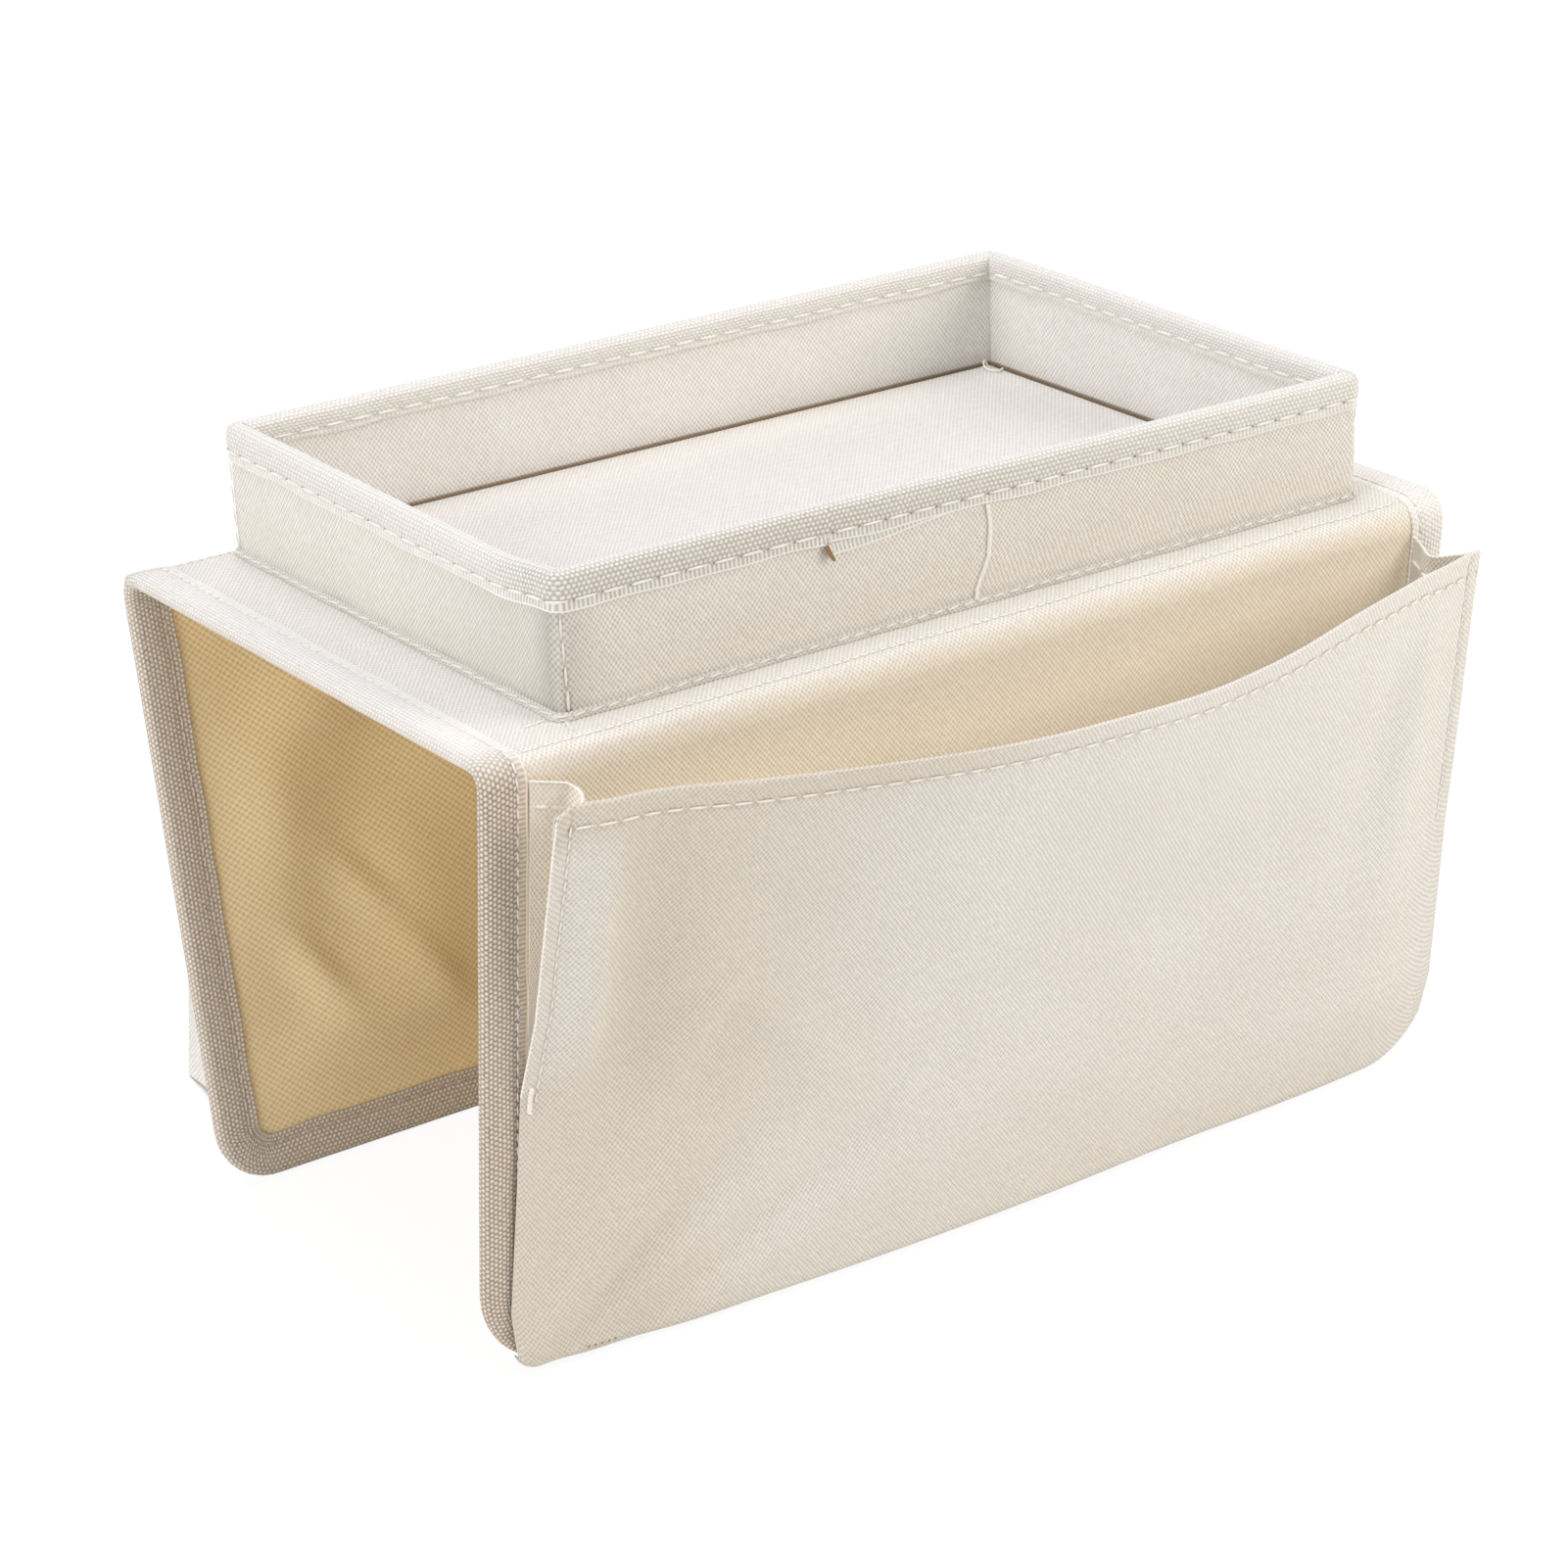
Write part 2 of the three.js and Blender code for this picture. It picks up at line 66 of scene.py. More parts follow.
# The photograph's view: a long lens from the front left and above, turned a little on its own axis.
azimuth, elevation, roll = (math.radians(angle) for angle in (-35.505, 22.583, 1.5))
aim = Vector((0.004, 0.003, 0.0033))
distance, aside, below = 1.254787, 0.005861, 0.075011
right = Vector((math.cos(azimuth), math.sin(azimuth), 0))
back = Vector((math.sin(azimuth), -math.cos(azimuth), math.tan(elevation))).normalized()
up = back.cross(right)
rolled_right = math.cos(roll) * right - math.sin(roll) * up
rolled_up = math.sin(roll) * right + math.cos(roll) * up
eye = Matrix.Translation(aim + distance * back - aside * right - below * up)
bpy.ops.object.camera_add()
camera = bpy.context.object
camera.data.lens = 98.94
camera.data.clip_end = 40
camera.matrix_world = eye @ Matrix((rolled_right, rolled_up, back)).transposed().to_4x4()
bpy.context.scene.camera = camera

# Pale studio floor, so bright to the camera that only the soft shadow under the object is left of it.
floor_span = 6
floor_drop = 0.0002
glow_near, glow_gain, glow_most = 0.86, 0.1, 0.99


class Value:
    """A shader socket that can stand in a sum."""

    def __init__(self, finish, socket):
        self.finish = finish
        self.socket = socket

    def maths(self, operation, *others):
        return self.finish.node("ShaderNodeMath", {"operation": operation}, [self, *others])

    def __add__(self, other):
        return self.maths("ADD", other)

    def __sub__(self, other):
        return self.maths("SUBTRACT", other)

    def __rsub__(self, other):
        return self.finish.node("ShaderNodeMath", {"operation": "SUBTRACT"}, [other, self])

    def __mul__(self, other):
        return self.maths("MULTIPLY", other)

    __radd__ = __add__


class Finish:
    """A material that is put together node by node."""

    def __init__(self, name, **constants):
        self.material = bpy.data.materials.new(name)
        self.material.use_nodes = True
        self.tree = self.material.node_tree
        self.shader = self.tree.nodes["Principled BSDF"]
        self.set(**constants)

    def node(self, kind, settings=None, inputs=(), output=0):
        made = self.tree.nodes.new(kind)
        for key, value in (settings or {}).items():
            setattr(made, key, value)
        for key, value in inputs.items() if isinstance(inputs, dict) else enumerate(inputs):
            self.put(made.inputs[key], value)
        return Value(self, made.outputs[output])

    def put(self, socket, value):
        if isinstance(value, Value):
            self.tree.links.new(value.socket, socket)
        else:
            socket.default_value = value

    def set(self, **sockets):
        for name, value in sockets.items():
            self.put(self.shader.inputs[name.replace("_", " ").title()], value)

    def mix(self, factor, first, second, way="MIX"):
        settings = {"data_type": "RGBA", "blend_type": way}
        return self.node("ShaderNodeMix", settings, {0: factor, 6: first, 7: second}, 2)

    def noise(self, where, scale, detail=2.0):
        return self.node("ShaderNodeTexNoise", None, {"Vector": where, "Scale": scale, "Detail": detail})

    def place(self):
        return self.node("ShaderNodeTexCoord", output="Object")

    def cut(self):
        """The UV map of a cut of cloth: the place on it, and that place's two parts."""
        where = self.node("ShaderNodeTexCoord", output="UV")
        return where, *(self.node("ShaderNodeSeparateXYZ", None, [where], axis) for axis in "XY")

    def tone(self):
        """How far a piece has its painted light and shade, from the piece's own attribute."""
        return self.node("ShaderNodeAttribute", {"attribute_name": "tone"}, output=2)

    def bump(self, strength, distance, height):
        relief = {"Strength": strength, "Distance": distance, "Height": height}
        self.set(normal=self.node("ShaderNodeBump", None, relief))


bpy.ops.mesh.primitive_plane_add(size=floor_span)
floor = bpy.context.object
floor.name = "studio_floor"
floor.data.transform(Matrix.Translation((0, 0, cad_low.z - floor_drop)))
paper = Finish("studio_paper", base_color=(0.9, 0.89, 0.88, 1), roughness=0.9)
away = paper.node("ShaderNodeVectorMath", {"operation": "LENGTH"}, [paper.place()], "Value")
bright = (away * glow_gain + glow_near).maths("MINIMUM", glow_most)
seen = paper.node("ShaderNodeLightPath", output="Is Camera Ray") * bright
glow = paper.node("ShaderNodeEmission", None, {"Color": (1, 1, 1, 1), "Strength": 1.04})
lit = Value(paper, paper.shader.outputs[0])
surface = paper.node("ShaderNodeMixShader", None, [seen, lit, glow])
paper.put(paper.tree.nodes["Material Output"].inputs["Surface"], surface)
floor.data.materials.append(paper.material)

# Soft studio light: a white room that lights the object weakly, a big lamp above, one at the left, one at
# the front right and a weak one behind.
room_light, room_seen = 0.25, 1.0
lamp_aim = Vector((0, 0, -0.05))
world = bpy.data.worlds.new("studio_room")
bpy.context.scene.world = world
world.use_nodes = True
room = world.node_tree
room_ray = room.nodes.new("ShaderNodeLightPath")
room_level = room.nodes.new("ShaderNodeMapRange")
room.links.new(room_ray.outputs["Is Camera Ray"], room_level.inputs["Value"])
room_level.inputs["To Min"].default_value = room_light
room_level.inputs["To Max"].default_value = room_seen
room.nodes["Background"].inputs["Color"].default_value = (1, 1, 1, 1)
room.links.new(room_level.outputs[0], room.nodes["Background"].inputs["Strength"])
for name, place, size, power, colour in (
    ("lamp_above", (-0.4, 0.1, 1.9), 1.6, 28.0, (0.84, 0.89, 1.0)),
    ("lamp_left", (-2.0, -0.3, 0.6), 1.2, 21.0, (1.0, 0.99, 0.98)),
    ("lamp_right", (1.4, -1.4, 1.0), 1.4, 31.5, (1.0, 0.95, 0.88)),
    ("lamp_behind", (0.9, 2.0, 0.8), 1.6, 20.0, (1.0, 0.98, 0.95)),
):
    bpy.ops.object.light_add(type="AREA", location=place)
    lamp = bpy.context.object
    lamp.name = name
    lamp.data.size = size
    lamp.data.energy = power
    lamp.data.color = colour
    lamp.rotation_euler = (lamp_aim - Vector(place)).to_track_quat("-Z", "Y").to_euler()
bpy.context.scene.view_settings.view_transform = "Standard"

# Stiffener boards: stamped fibre board inside the top, the flaps, the tray walls and the tray floor.
# They keep their plain shape, as the cloth hides them.
board = Finish("fibre_board", roughness=0.85)
fibre = board.noise(board.place(), 900.0, 4.0)
board.set(base_color=board.mix(fibre, (0.36, 0.31, 0.24, 1), (0.55, 0.49, 0.4, 1)))
board.bump(0.3, 0.0002, fibre)
tray_boards = ("tray_front", "tray_rear", "tray_left", "tray_right", "tray_floor")
for name in ("top", "front_flap", "rear_flap", *tray_boards):
    stiffener = bpy.data.objects[name + "_board"]
    stiffener.data.materials.clear()
    stiffener.data.materials.append(board.material)

# Outer cloth of the saddle: cream oxford cloth, one cut over each half of the top, over the fold and down
# the flap. It is laid flat on the boards, turns down in a soft fold, and its lower corners are cut round.
flat_half = 0.087
fold_radius = 0.009
fold_blunt = 0.2
saddle_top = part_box("top_cover")[1].z
cloth_half = 0.166
cloth_thick = 0.0006
thin_cloth = 0.0005


def smooth(value, low, high):
    """0 below low, 1 above high, and an even turn between them."""
    share = np.clip((value - low) / (high - low), 0, 1)
    return share * share * (3 - 2 * share)


def dip(value, width):
    """1 at zero, fading out over the width on both sides."""
    return np.exp(-(value / width) ** 2)


def as_point(place):
    return Vector(np.ravel(place).tolist())


class Side:
    """One half of the saddle as if rolled out flat: run is the way down its outer face from the middle. lap
    is the stretch of run in which a piece passes from the saddle to the flap."""

    def __init__(self, sign, lean, length, flap, lap, corner):
        lean = math.radians(lean)
        self.sign = sign
        self.corner = corner
        self.bend = math.pi / 2 + lean
        self.fold_end = flat_half + fold_radius * self.bend
        self.foot = self.fold_end + length
        self.flap = flap
        self.out = Vector((0, sign * math.cos(lean), -math.sin(lean)))
        self.start, self.end = (as_point(self.at(0, run)) for run in lap)

    def turned(self, x, flat, turn, lift, past):
        """Points at a turn round the fold, which starts flat metres out, and past metres on from it."""
        away = flat + (fold_radius + lift) * np.sin(turn) + past * np.cos(turn)
        high = saddle_top - fold_radius + (fold_radius + lift) * np.cos(turn) - past * np.sin(turn)
        return x, self.sign * away, high

    def at(self, x, run, lift=0.0):
        """Points at x and run, lifted off the outer face. The fold is crisper towards its left end."""
        x, run, lift = np.broadcast_arrays(np.asarray(x, float), run, lift)
        turn = np.clip((run - flat_half) / fold_radius, 0, self.bend)
        past = np.maximum(run - self.fold_end, 0)
        from_tip = np.hypot(turn - self.bend / 2, fold_blunt)
        crisp = 0.25 + 0.4 * smooth(-x, 0.05, 0.16)
        tip = crisp * fold_radius * (1 / np.cos(np.maximum(self.bend / 2 - from_tip, 0)) - 1)
        lift = lift + np.where(past > 0, 0, tip)
        return self.turned(x, np.minimum(run, flat_half), turn, lift, past)

    def off_flap(self, x, down, lift):
        """Points down from the fold's end and off the flap's outer face, taken on as a plane above it."""
        x, down, lift = np.broadcast_arrays(np.asarray(x, float), down, lift)
        return self.turned(x, flat_half, self.bend, lift, down)

    def half_width(self, run):
        """Half the width of the cut, which narrows in its round lower corners."""
        low = np.clip(run - (self.foot - self.corner), 0, self.corner)
        return cloth_half - self.corner + np.sqrt(self.corner ** 2 - low ** 2)

    def join(self, piece):
        """Bakes the piece's transform into its mesh."""
        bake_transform(piece)


front = Side(-1, 5, 0.17503, "front_flap", (0.087, 0.1025), 0.026)
rear = Side(1, 10, 0.17643, "rear_flap", (0.087, 0.1029), 0.0155)


def ripple(x, y, span):
    """A soft unevenness between -1 and 1 that does not repeat within the object."""
    x, y = np.asarray(x) / span, np.asarray(y) / span
    waves = np.sin(2.1 * x + 1.3 * y + 0.7) + np.sin(2.6 * y - 1.7 * x + 2.1)
    return (waves + np.sin(3.3 * x - 0.9 * y + 4)) / 3


def dress(piece, material):
    piece.data.materials.clear()
    piece.data.materials.append(material)
    return piece


def cut_cloth(name, size, cells, place, material, thick=cloth_thick, flip=False,
              crowd=None, shade=None):
    """Cloth cut to size in metres. place(u, v) lays its outer face, u and v being shares of width and
    length. crowd puts more of the cells where the cloth turns, and shade(u, v) tells how far the cloth has
    its painted light and shade."""
    bpy.ops.object.select_all(action="DESELECT")
    bpy.ops.mesh.primitive_grid_add(x_subdivisions=cells[0], y_subdivisions=cells[1], size=1)
    cloth = bpy.context.object
    cloth.name = cloth.data.name = name
    flat = np.empty(len(cloth.data.vertices) * 3)
    cloth.data.vertices.foreach_get("co", flat)
    shares = flat.reshape(-1, 3)[:, :2].T + 0.5
    corners = np.empty(len(cloth.data.loops), int)
    cloth.data.loops.foreach_get("vertex_index", corners)
    if crowd:
        shares = np.array([np.interp(share, *stops) for share, stops in zip(shares, crowd)])
    uv = (shares * np.array(size)[:, None]).T[corners]
    cloth.data.uv_layers.active.uv.foreach_set("vector", uv.ravel())
    laid = np.stack(np.broadcast_arrays(*place(*shares)), axis=1)
    cloth.data.vertices.foreach_set("co", laid.ravel())
    if shade:
        tone = np.broadcast_to(shade(*shares), shares[0].shape).astype(np.float32)
        cloth.data.attributes.new("tone", "FLOAT", "POINT").data.foreach_set("value", tone)
    cloth.data.update()
    if flip:
        bpy.ops.object.mode_set(mode="EDIT")
        bpy.ops.mesh.select_all(action="SELECT")
        bpy.ops.mesh.flip_normals()
        bpy.ops.object.mode_set(mode="OBJECT")
    body = cloth.modifiers.new("thickness", "SOLIDIFY")
    body.thickness = thick
    body.offset = -1
    bpy.ops.object.modifier_apply(modifier=body.name)
    bpy.ops.object.shade_smooth_by_angle(angle=math.radians(48))
    return dress(cloth, material)


def wave(value, period):
    return (value * (2 * math.pi / period)).maths("SINE")


def woven(name, light, dark, painted_tone, periods, depth, slub=0.25, contrast=0.62, glow=0.0, **constants):
    """Plain-woven cloth: yarns that go over and under, dark in the holes between them. painted_tone is the
    painted light and shade that the parts with a tone are multiplied by, and glow is painted light: an
    emission that stands in for the light that comes to them through thin cloth."""
    cloth = Finish(name, **constants)
    where, across, along = cloth.cut()
    yarn = cloth.noise(where, 420.0)
    stray = (yarn - 0.5) * 0.0007
    crossing = wave(across + stray, periods[0]) * wave(along + stray, periods[1])
    height = (crossing * 0.5 + 0.5).maths("POWER", 0.7)
    patches = cloth.noise(where, 38.0) * 0.12 + yarn * slub
    shade = (height * contrast + (0.94 - contrast) + patches - 0.5 * slub).maths("MINIMUM", 1.0)
    painted_amount = cloth.tone()
    tint = cloth.mix(painted_amount, (1, 1, 1, 1), painted_tone)
    yarns = cloth.mix(shade.maths("MAXIMUM", 0.0), dark, light)
    cloth.set(base_color=cloth.mix(1.0, yarns, tint, "MULTIPLY"))
    cloth.set(roughness=0.96 - height * 0.12, emission_strength=glow)
    cloth.set(emission_color=cloth.mix(painted_amount * 0.5, (0, 0, 0, 1), (1, 0.87, 0.67, 1)))
    cloth.bump(0.8, depth, height + yarn * 0.5)
    return cloth.material


def oxford(name, light, painted_tone, **tones):
    """The cream oxford cloth, with the painted light and shade that it has at one part of the object."""
    return woven(name, light, (0.42, 0.35, 0.26, 1), painted_tone, (0.0015, 0.0018), 0.0003, sheen_weight=0.1,
                 sheen_roughness=0.6, **tones)


# Its tint, warmer and above 1, and its glow are painted light where the cloth has a tone.
cream = oxford("cream_oxford_cloth", (0.885, 0.85, 0.795, 1), (1.09, 1.01, 0.87, 1), glow=0.17)


def topstitch_run(x):
    """How far out from the middle line the topstitching at the fold is."""
    return 0.0915 + 0.0003 * ripple(x, 0 * x, 0.02)


def lay_outer(side):
    def place(u, v):
        run = v * side.foot
        x = (2 * u - 1) * side.half_width(run)
        bow = 0.00025 * (1 + ripple(x, run, 0.02)) * smooth(run, 0.1, 0.13)
        groove = 0.0004 * dip(run - topstitch_run(x), 0.0009)
        return side.at(x, run, bow - groove)
    return place


def flap_tone(u, run):
    """Painted light: below the fold the cloth is brighter and warmer, as if light came through it and the
    golden lining, most at the left end.
    """
    below_fold = 0.72 * smooth(run, 0.091, 0.102) + 0.18 * smooth(run, 0.103, 0.125)
    return below_fold * (1 + 1.2 * smooth(0.45 - u, 0, 0.35) * smooth(run, 0.1, 0.125))


even = ([0, 1], [0, 1])
fold_crowd = [even, ([0, 0.25, 0.55, 1], [0, 0.31, 0.4, 1])]
outer = {}
# share is how much of the painted light below the fold each half gets.
for name, side, share, nodes in (
    ("front_outer_cloth", front, 1, ("top_cover", "front_fold", "front_flap_cover")),
    ("rear_outer_cloth", rear, 0.2, ("rear_fold", "rear_flap_cover")),
):
    outer[side] = cut_cloth(name, (2 * cloth_half, side.foot), (84, 160), lay_outer(side), cream,
                            flip=side is front, crowd=fold_crowd,
                            shade=lambda u, v: share * flap_tone(u, v * side.foot))
    side.join(outer[side])
    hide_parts(*nodes)

# Thread: off-white sewing thread, put in by machine. A row is one stitch repeated along a line on the cloth.
# Finer threads in the cloth's own colours sew the tray's foot and corners and the lining side of the tape.
thread = Finish("sewing_thread", roughness=0.6, sheen_weight=0.2)
strands = thread.noise(thread.place(), 700.0)
thread.set(base_color=thread.mix(strands, (0.8, 0.75, 0.67, 1), (0.97, 0.94, 0.89, 1)))
cream_thread = Finish("cream_thread", base_color=(0.83, 0.79, 0.72, 1), roughness=0.7).material
tape_thread = Finish("tape_thread", base_color=(0.6, 0.52, 0.42, 1), roughness=0.8).material
# needle_hole's dark brown is painted shade for the holes along the rim's seam; it also darkens the short
# stitches at the pocket's foot.
needle_hole = Finish("needle_hole", base_color=(0.34, 0.28, 0.2, 1), roughness=1.0).material


def sew(name, line, pitch, share=0.8, gauge=0.00035, slant=4.0, material=thread.material):
    """A row of stitches along a line of points. Each stitch is a short strand that takes that share of the
    pitch, is gauge thick from its middle and is slanted to the line by that many degrees."""
    points = np.stack(np.broadcast_arrays(*line), axis=1)
    length = np.linalg.norm(np.diff(points, axis=0), axis=1).sum()
    path = bpy.data.curves.new(name + "_line", "CURVE")
    path.dimensions = "3D"
    spline = path.splines.new("POLY")
    spline.points.add(len(points) - 1)
    spline.points.foreach_set("co", np.c_[points, np.ones(len(points))].ravel())
    guide = bpy.data.objects.new(name + "_line", path)
    bpy.context.collection.objects.link(guide)
    bpy.ops.object.select_all(action="DESELECT")
    bpy.ops.mesh.primitive_uv_sphere_add(segments=6, ring_count=4, radius=1)
    row = bpy.context.object
    row.name = row.data.name = name
    shape = Matrix.Diagonal((pitch * share / 2, gauge, gauge, 1))
    slanted = Matrix.Rotation(math.radians(slant), 4, "Z") @ shape
    row.data.transform(Matrix.Rotation(math.pi / 2, 4, "Y"))
    row.data.transform(Matrix.Translation((pitch / 2, 0, 0)) @ slanted)
    repeat = row.modifiers.new("repeat", "ARRAY")
    repeat.use_relative_offset = False
    repeat.use_constant_offset = True
    repeat.constant_offset_displace = (pitch, 0, 0)
    repeat.count = max(int(length / pitch), 1)
    follow = row.modifiers.new("follow", "CURVE")
    follow.object = guide
    bpy.ops.object.modifier_apply(modifier=repeat.name)
    bpy.ops.object.modifier_apply(modifier=follow.name)
    bpy.ops.object.shade_smooth()
    bpy.data.objects.remove(guide)
    bpy.data.curves.remove(path)
    return dress(row, material)


# Topstitching along each fold: one row of short stitches of the off-white thread, sewn by machine through
# the outer cloth and the lining, which it holds together.
topstitch_half = 0.153
for name, side in (("front_fold_topstitch", front), ("rear_fold_topstitch", rear)):
    x = np.linspace(-topstitch_half, topstitch_half, 120)
    row = sew(name, side.at(x, topstitch_run(x), -0.0001), 0.0032, 0.78, 0.00034)
    side.join(row)

# Lining: golden-tan plain-woven cloth with open dots in its weave, on the faces that lie against the
# armrest. It is loose on the board and hangs in soft slanting folds.
# Its third colour is the painted shade that lining_tone lays on it.
golden = woven("golden_lining_cloth", (0.985, 0.82, 0.51, 1), (0.56, 0.37, 0.14, 1), (0.8, 0.74, 0.65, 1),
               (0.0023, 0.0021), 0.0002, slub=0.16, sheen_weight=0.15, sheen_roughness=0.5)
saddle_thick = 0.0033
lining_gap = 0.0001
lining_dents = ((-0.108, 0.20, 0.0024), (-0.126, 0.222, 0.0027), (-0.085, 0.235, 0.0021),
                (0.02, 0.21, 0.00225), (0.09, 0.23, 0.0021), (-0.02, 0.17, 0.0018))


def lining_folds(x, run):
    """How far the slack lining stands in: slanting folds, and dents that fade out slowly on one side."""
    slant = x * 0.8 + (run - 0.18) * 0.6
    folds = 0.0019 + 0.0019 * np.sin(slant / 0.0105 + 0.9 * ripple(x, run, 0.05))
    folds = folds + 0.0008 * ripple(x, run, 0.018)
    for mid_x, mid_run, much in lining_dents:
        dx, dy = x - mid_x, run - mid_run
        over = 0.84 * dx - 0.54 * dy
        fade = np.where(over < 0, smooth(over, -0.014, 0), 1 - smooth(over, 0, 0.004))
        folds = folds + much * dip(0.54 * dx + 0.84 * dy, 0.016) * fade
    return np.maximum(folds, 0)


def lay_lining(side):
    def place(u, v):
        run = v * side.foot
        x = (2 * u - 1) * side.half_width(run)
        free = smooth(run, 0.105, 0.15) * smooth(side.foot - run, 0.01, 0.04)
        free = free * smooth(cloth_half - abs(x), 0.008, 0.04)
        return side.at(x, run, -saddle_thick - lining_gap - free * lining_folds(x, run))
    return place


def lining_tone(u, v):
    """Painted shade: the lining is darker away from the two open ends."""
    return 0.15 * smooth(np.minimum(u, 1 - u) * 2 * cloth_half, 0.046, 0.106)


for name, side, nodes in (
    ("front_lining", front, ("top_lining", "front_flap_lining")),
    ("rear_lining", rear, ("rear_flap_lining",)),
):
    cut = (2 * cloth_half, side.foot)
    lining = cut_cloth(name, cut, (84, 150), lay_lining(side), golden, thin_cloth,
                       side is rear, shade=lining_tone)
    side.join(lining)
    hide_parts(*nodes)

# Edge tape: thick grey-beige tape, folded over the raw edge of all layers and sewn through near its inner
# edge. One length goes round each half of the saddle, from the middle of one end to the middle of the other.
tape_leg = 0.011
tape_width = 0.031
tape_thick = 0.0007
tape_crown = 0.0022
tape_seam = 0.0083
bead_pitch = 0.00132


def beaded(name, light, dark, shaded_light, shaded_dark, width=tape_width, ladders=(0.085, 0.0), rung=0.2):
    """Bead-woven tape. The UV map runs in metres along it and from 0 to 1 across it. ladders are the shares
    of open ladder weave at its outer and inner side, each with a selvedge where there is one. The shaded
    colours are painted shade: the beads' colours where the tape lies in shade, where its ladder also shows
    more."""
    tape = Finish(name, sheen_weight=0.2, sheen_roughness=0.5)
    _, way, across = tape.cut()
    fuzz = tape.noise(tape.node("ShaderNodeCombineXYZ", None, [way, across * width]), 600.0)
    along = way + (fuzz - 0.5) * 0.0005
    wide = across * width + (fuzz - 0.5) * 0.0004
    rows = [wide, along * 0.866 + wide * 0.5, along * 0.866 - wide * 0.5]
    bead = sum(wave(row + bead_pitch / 4, bead_pitch) for row in rows)
    bead = (bead * 0.222 + 0.334).maths("MAXIMUM", 0.0).maths("POWER", 0.6)
    selvedge = across.maths("LESS_THAN", 0.018) + across.maths("GREATER_THAN", 1 - 0.16 * ladders[1])
    ladder = across.maths("LESS_THAN", ladders[0]) + across.maths("GREATER_THAN", 1 - ladders[1])
    rungs = wave(along, 0.0014) * rung + 0.6
    tone = tape.tone()
    plain = tone.maths("SMOOTH_MIN", 0.5, 0.2) * 1.5 + 0.25
    height = (bead + (rungs - bead) * ladder * plain).maths("MAXIMUM", selvedge * plain)
    shade = (height * 1.1 + fuzz * 0.5 - 0.3).maths("MAXIMUM", 0.0).maths("MINIMUM", 1.0)
    low, high = tape.mix(tone, dark, shaded_dark), tape.mix(tone, light, shaded_light)
    tape.set(base_color=tape.mix(shade, low, high), roughness=0.95)
    tape.bump(0.9, 0.0004, height + fuzz * 0.5)
    return tape.material


# The last two colours are the beads in painted shade, laid on by tape_tone.
grey_tape = beaded("beaded_edge_tape", (0.94, 0.92, 0.89, 1), (0.79, 0.73, 0.66, 1),
                   (0.88, 0.77, 0.64, 1), (0.25, 0.19, 0.13, 1))


def edge_line(side):
    """Points, outward turn and length along the edge of one half, rolled out flat."""
    turn = np.linspace(0, math.pi / 2, 25)
    sines, cosines = np.sin(turn), np.cos(turn)
    low, wide = side.foot - side.corner, cloth_half - side.corner
    x = np.r_[-cloth_half, -wide - side.corner * cosines, wide + side.corner * sines, cloth_half]
    run = np.r_[0, low + side.corner * sines, low + side.corner * cosines, 0]
    out_x = np.r_[-1, -cosines, sines, 1]
    out_run = np.r_[0, sines, cosines, 0]
    way = np.r_[0, np.cumsum(np.hypot(np.diff(x), np.diff(run)))]
    return (x, run, out_x, out_run), way


def tape_fold(share, leg, thick, proud, half):
    """Section of a tape folded over an edge: how far past the edge, and how far off the outer face. The
    middle part of its width, half to each side, goes over the edge, and the seam draws each leg in."""
    angle = np.clip((share - 0.5 + half) / (2 * half), 0, 1) * math.pi
    on_leg = np.maximum(abs(share - 0.5) - half, 0) / (0.5 - half)
    past = tape_crown * np.sin(angle) - leg * on_leg - 0.0003
    drawn = 0.0003 * dip(on_leg - 0.73, 0.07) - 0.00025 * np.sin(math.pi * np.clip(on_leg / 0.7, 0, 1))
    off = -thick / 2 + (thick / 2 + proud - np.where(on_leg > 0, drawn, 0)) * np.cos(angle)
    return past, off


def lay_tape(side):
    line, way = edge_line(side)

    def place(u, v):
        x, run, out_x, out_run = (np.interp(u * way[-1], way, part) for part in line)
        on_top = 1 - smooth(run, 0.086, 0.1)
        proud = 0.0009 - on_top * (0.0004 + 0.0004 * smooth(abs(v - 0.5), 0.4, 0.5))
        past, off = tape_fold(v, tape_leg, saddle_thick, proud, 0.127)
        uneven = 0.00035 * ripple(u * way[-1], v * 0.01, 0.012)
        past = past + uneven * np.minimum(abs(v - 0.5) * 2, 1)
        return side.at(x + past * out_x, run + past * out_run, off)
    return place, way[-1]


def tape_row(side, lift):
    """The seam along the tape, on its outer face or, with a lift below the layers, on the lining side."""
    line, way = edge_line(side)
    stations = np.linspace(0.002, way[-1] - 0.002, 420)
    x, run, out_x, out_run = (np.interp(stations, way, part) for part in line)
    sunk = 0.0004 * (1 - smooth(run, 0.086, 0.1)) * np.sign(lift)
    return side.at(x - tape_seam * out_x, run - tape_seam * out_run, lift - sunk)


def tape_tone(side, u, v, length):
    """Painted shade: the tape is darker down the left edge of each flap and along its foot, and a little
    darker where it turns over the left end of the top."""
    share = 1.0 if side is front else 0.82
    from_top = (0.5 - abs(u - 0.5)) * length
    flap = share * smooth(from_top, 0.084, 0.1) * (1 - smooth(u, 0.66, 0.74))
    return flap + 0.34 * dip(v - 0.5, 0.11) * (1 - smooth(u * length, 0.08, 0.1))


for word, side, top_end in (("front", front, "left"), ("rear", rear, "right")):
    name = word + "_edge_tape"
    place, length = lay_tape(side)
    tape = cut_cloth(name, (length, 1), (260, 30), place, grey_tape, tape_thick, side is front,
                     shade=lambda u, v: tape_tone(side, u, v, length))
    rows = [sew(f"{name}_{face}_stitch", tape_row(side, lift), 0.0042, 0.82, 0.00032, 4, finish)
            for face, lift, finish in (("outer", 0.0008, thread.material),
                                       ("inner", -saddle_thick - 0.0008, tape_thread))]
    for piece in (tape, *rows):
        side.join(piece)
    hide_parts(top_end + "_top_binding", word + "_fold_left_binding", word + "_fold_right_binding",
                word + "_flap_binding")

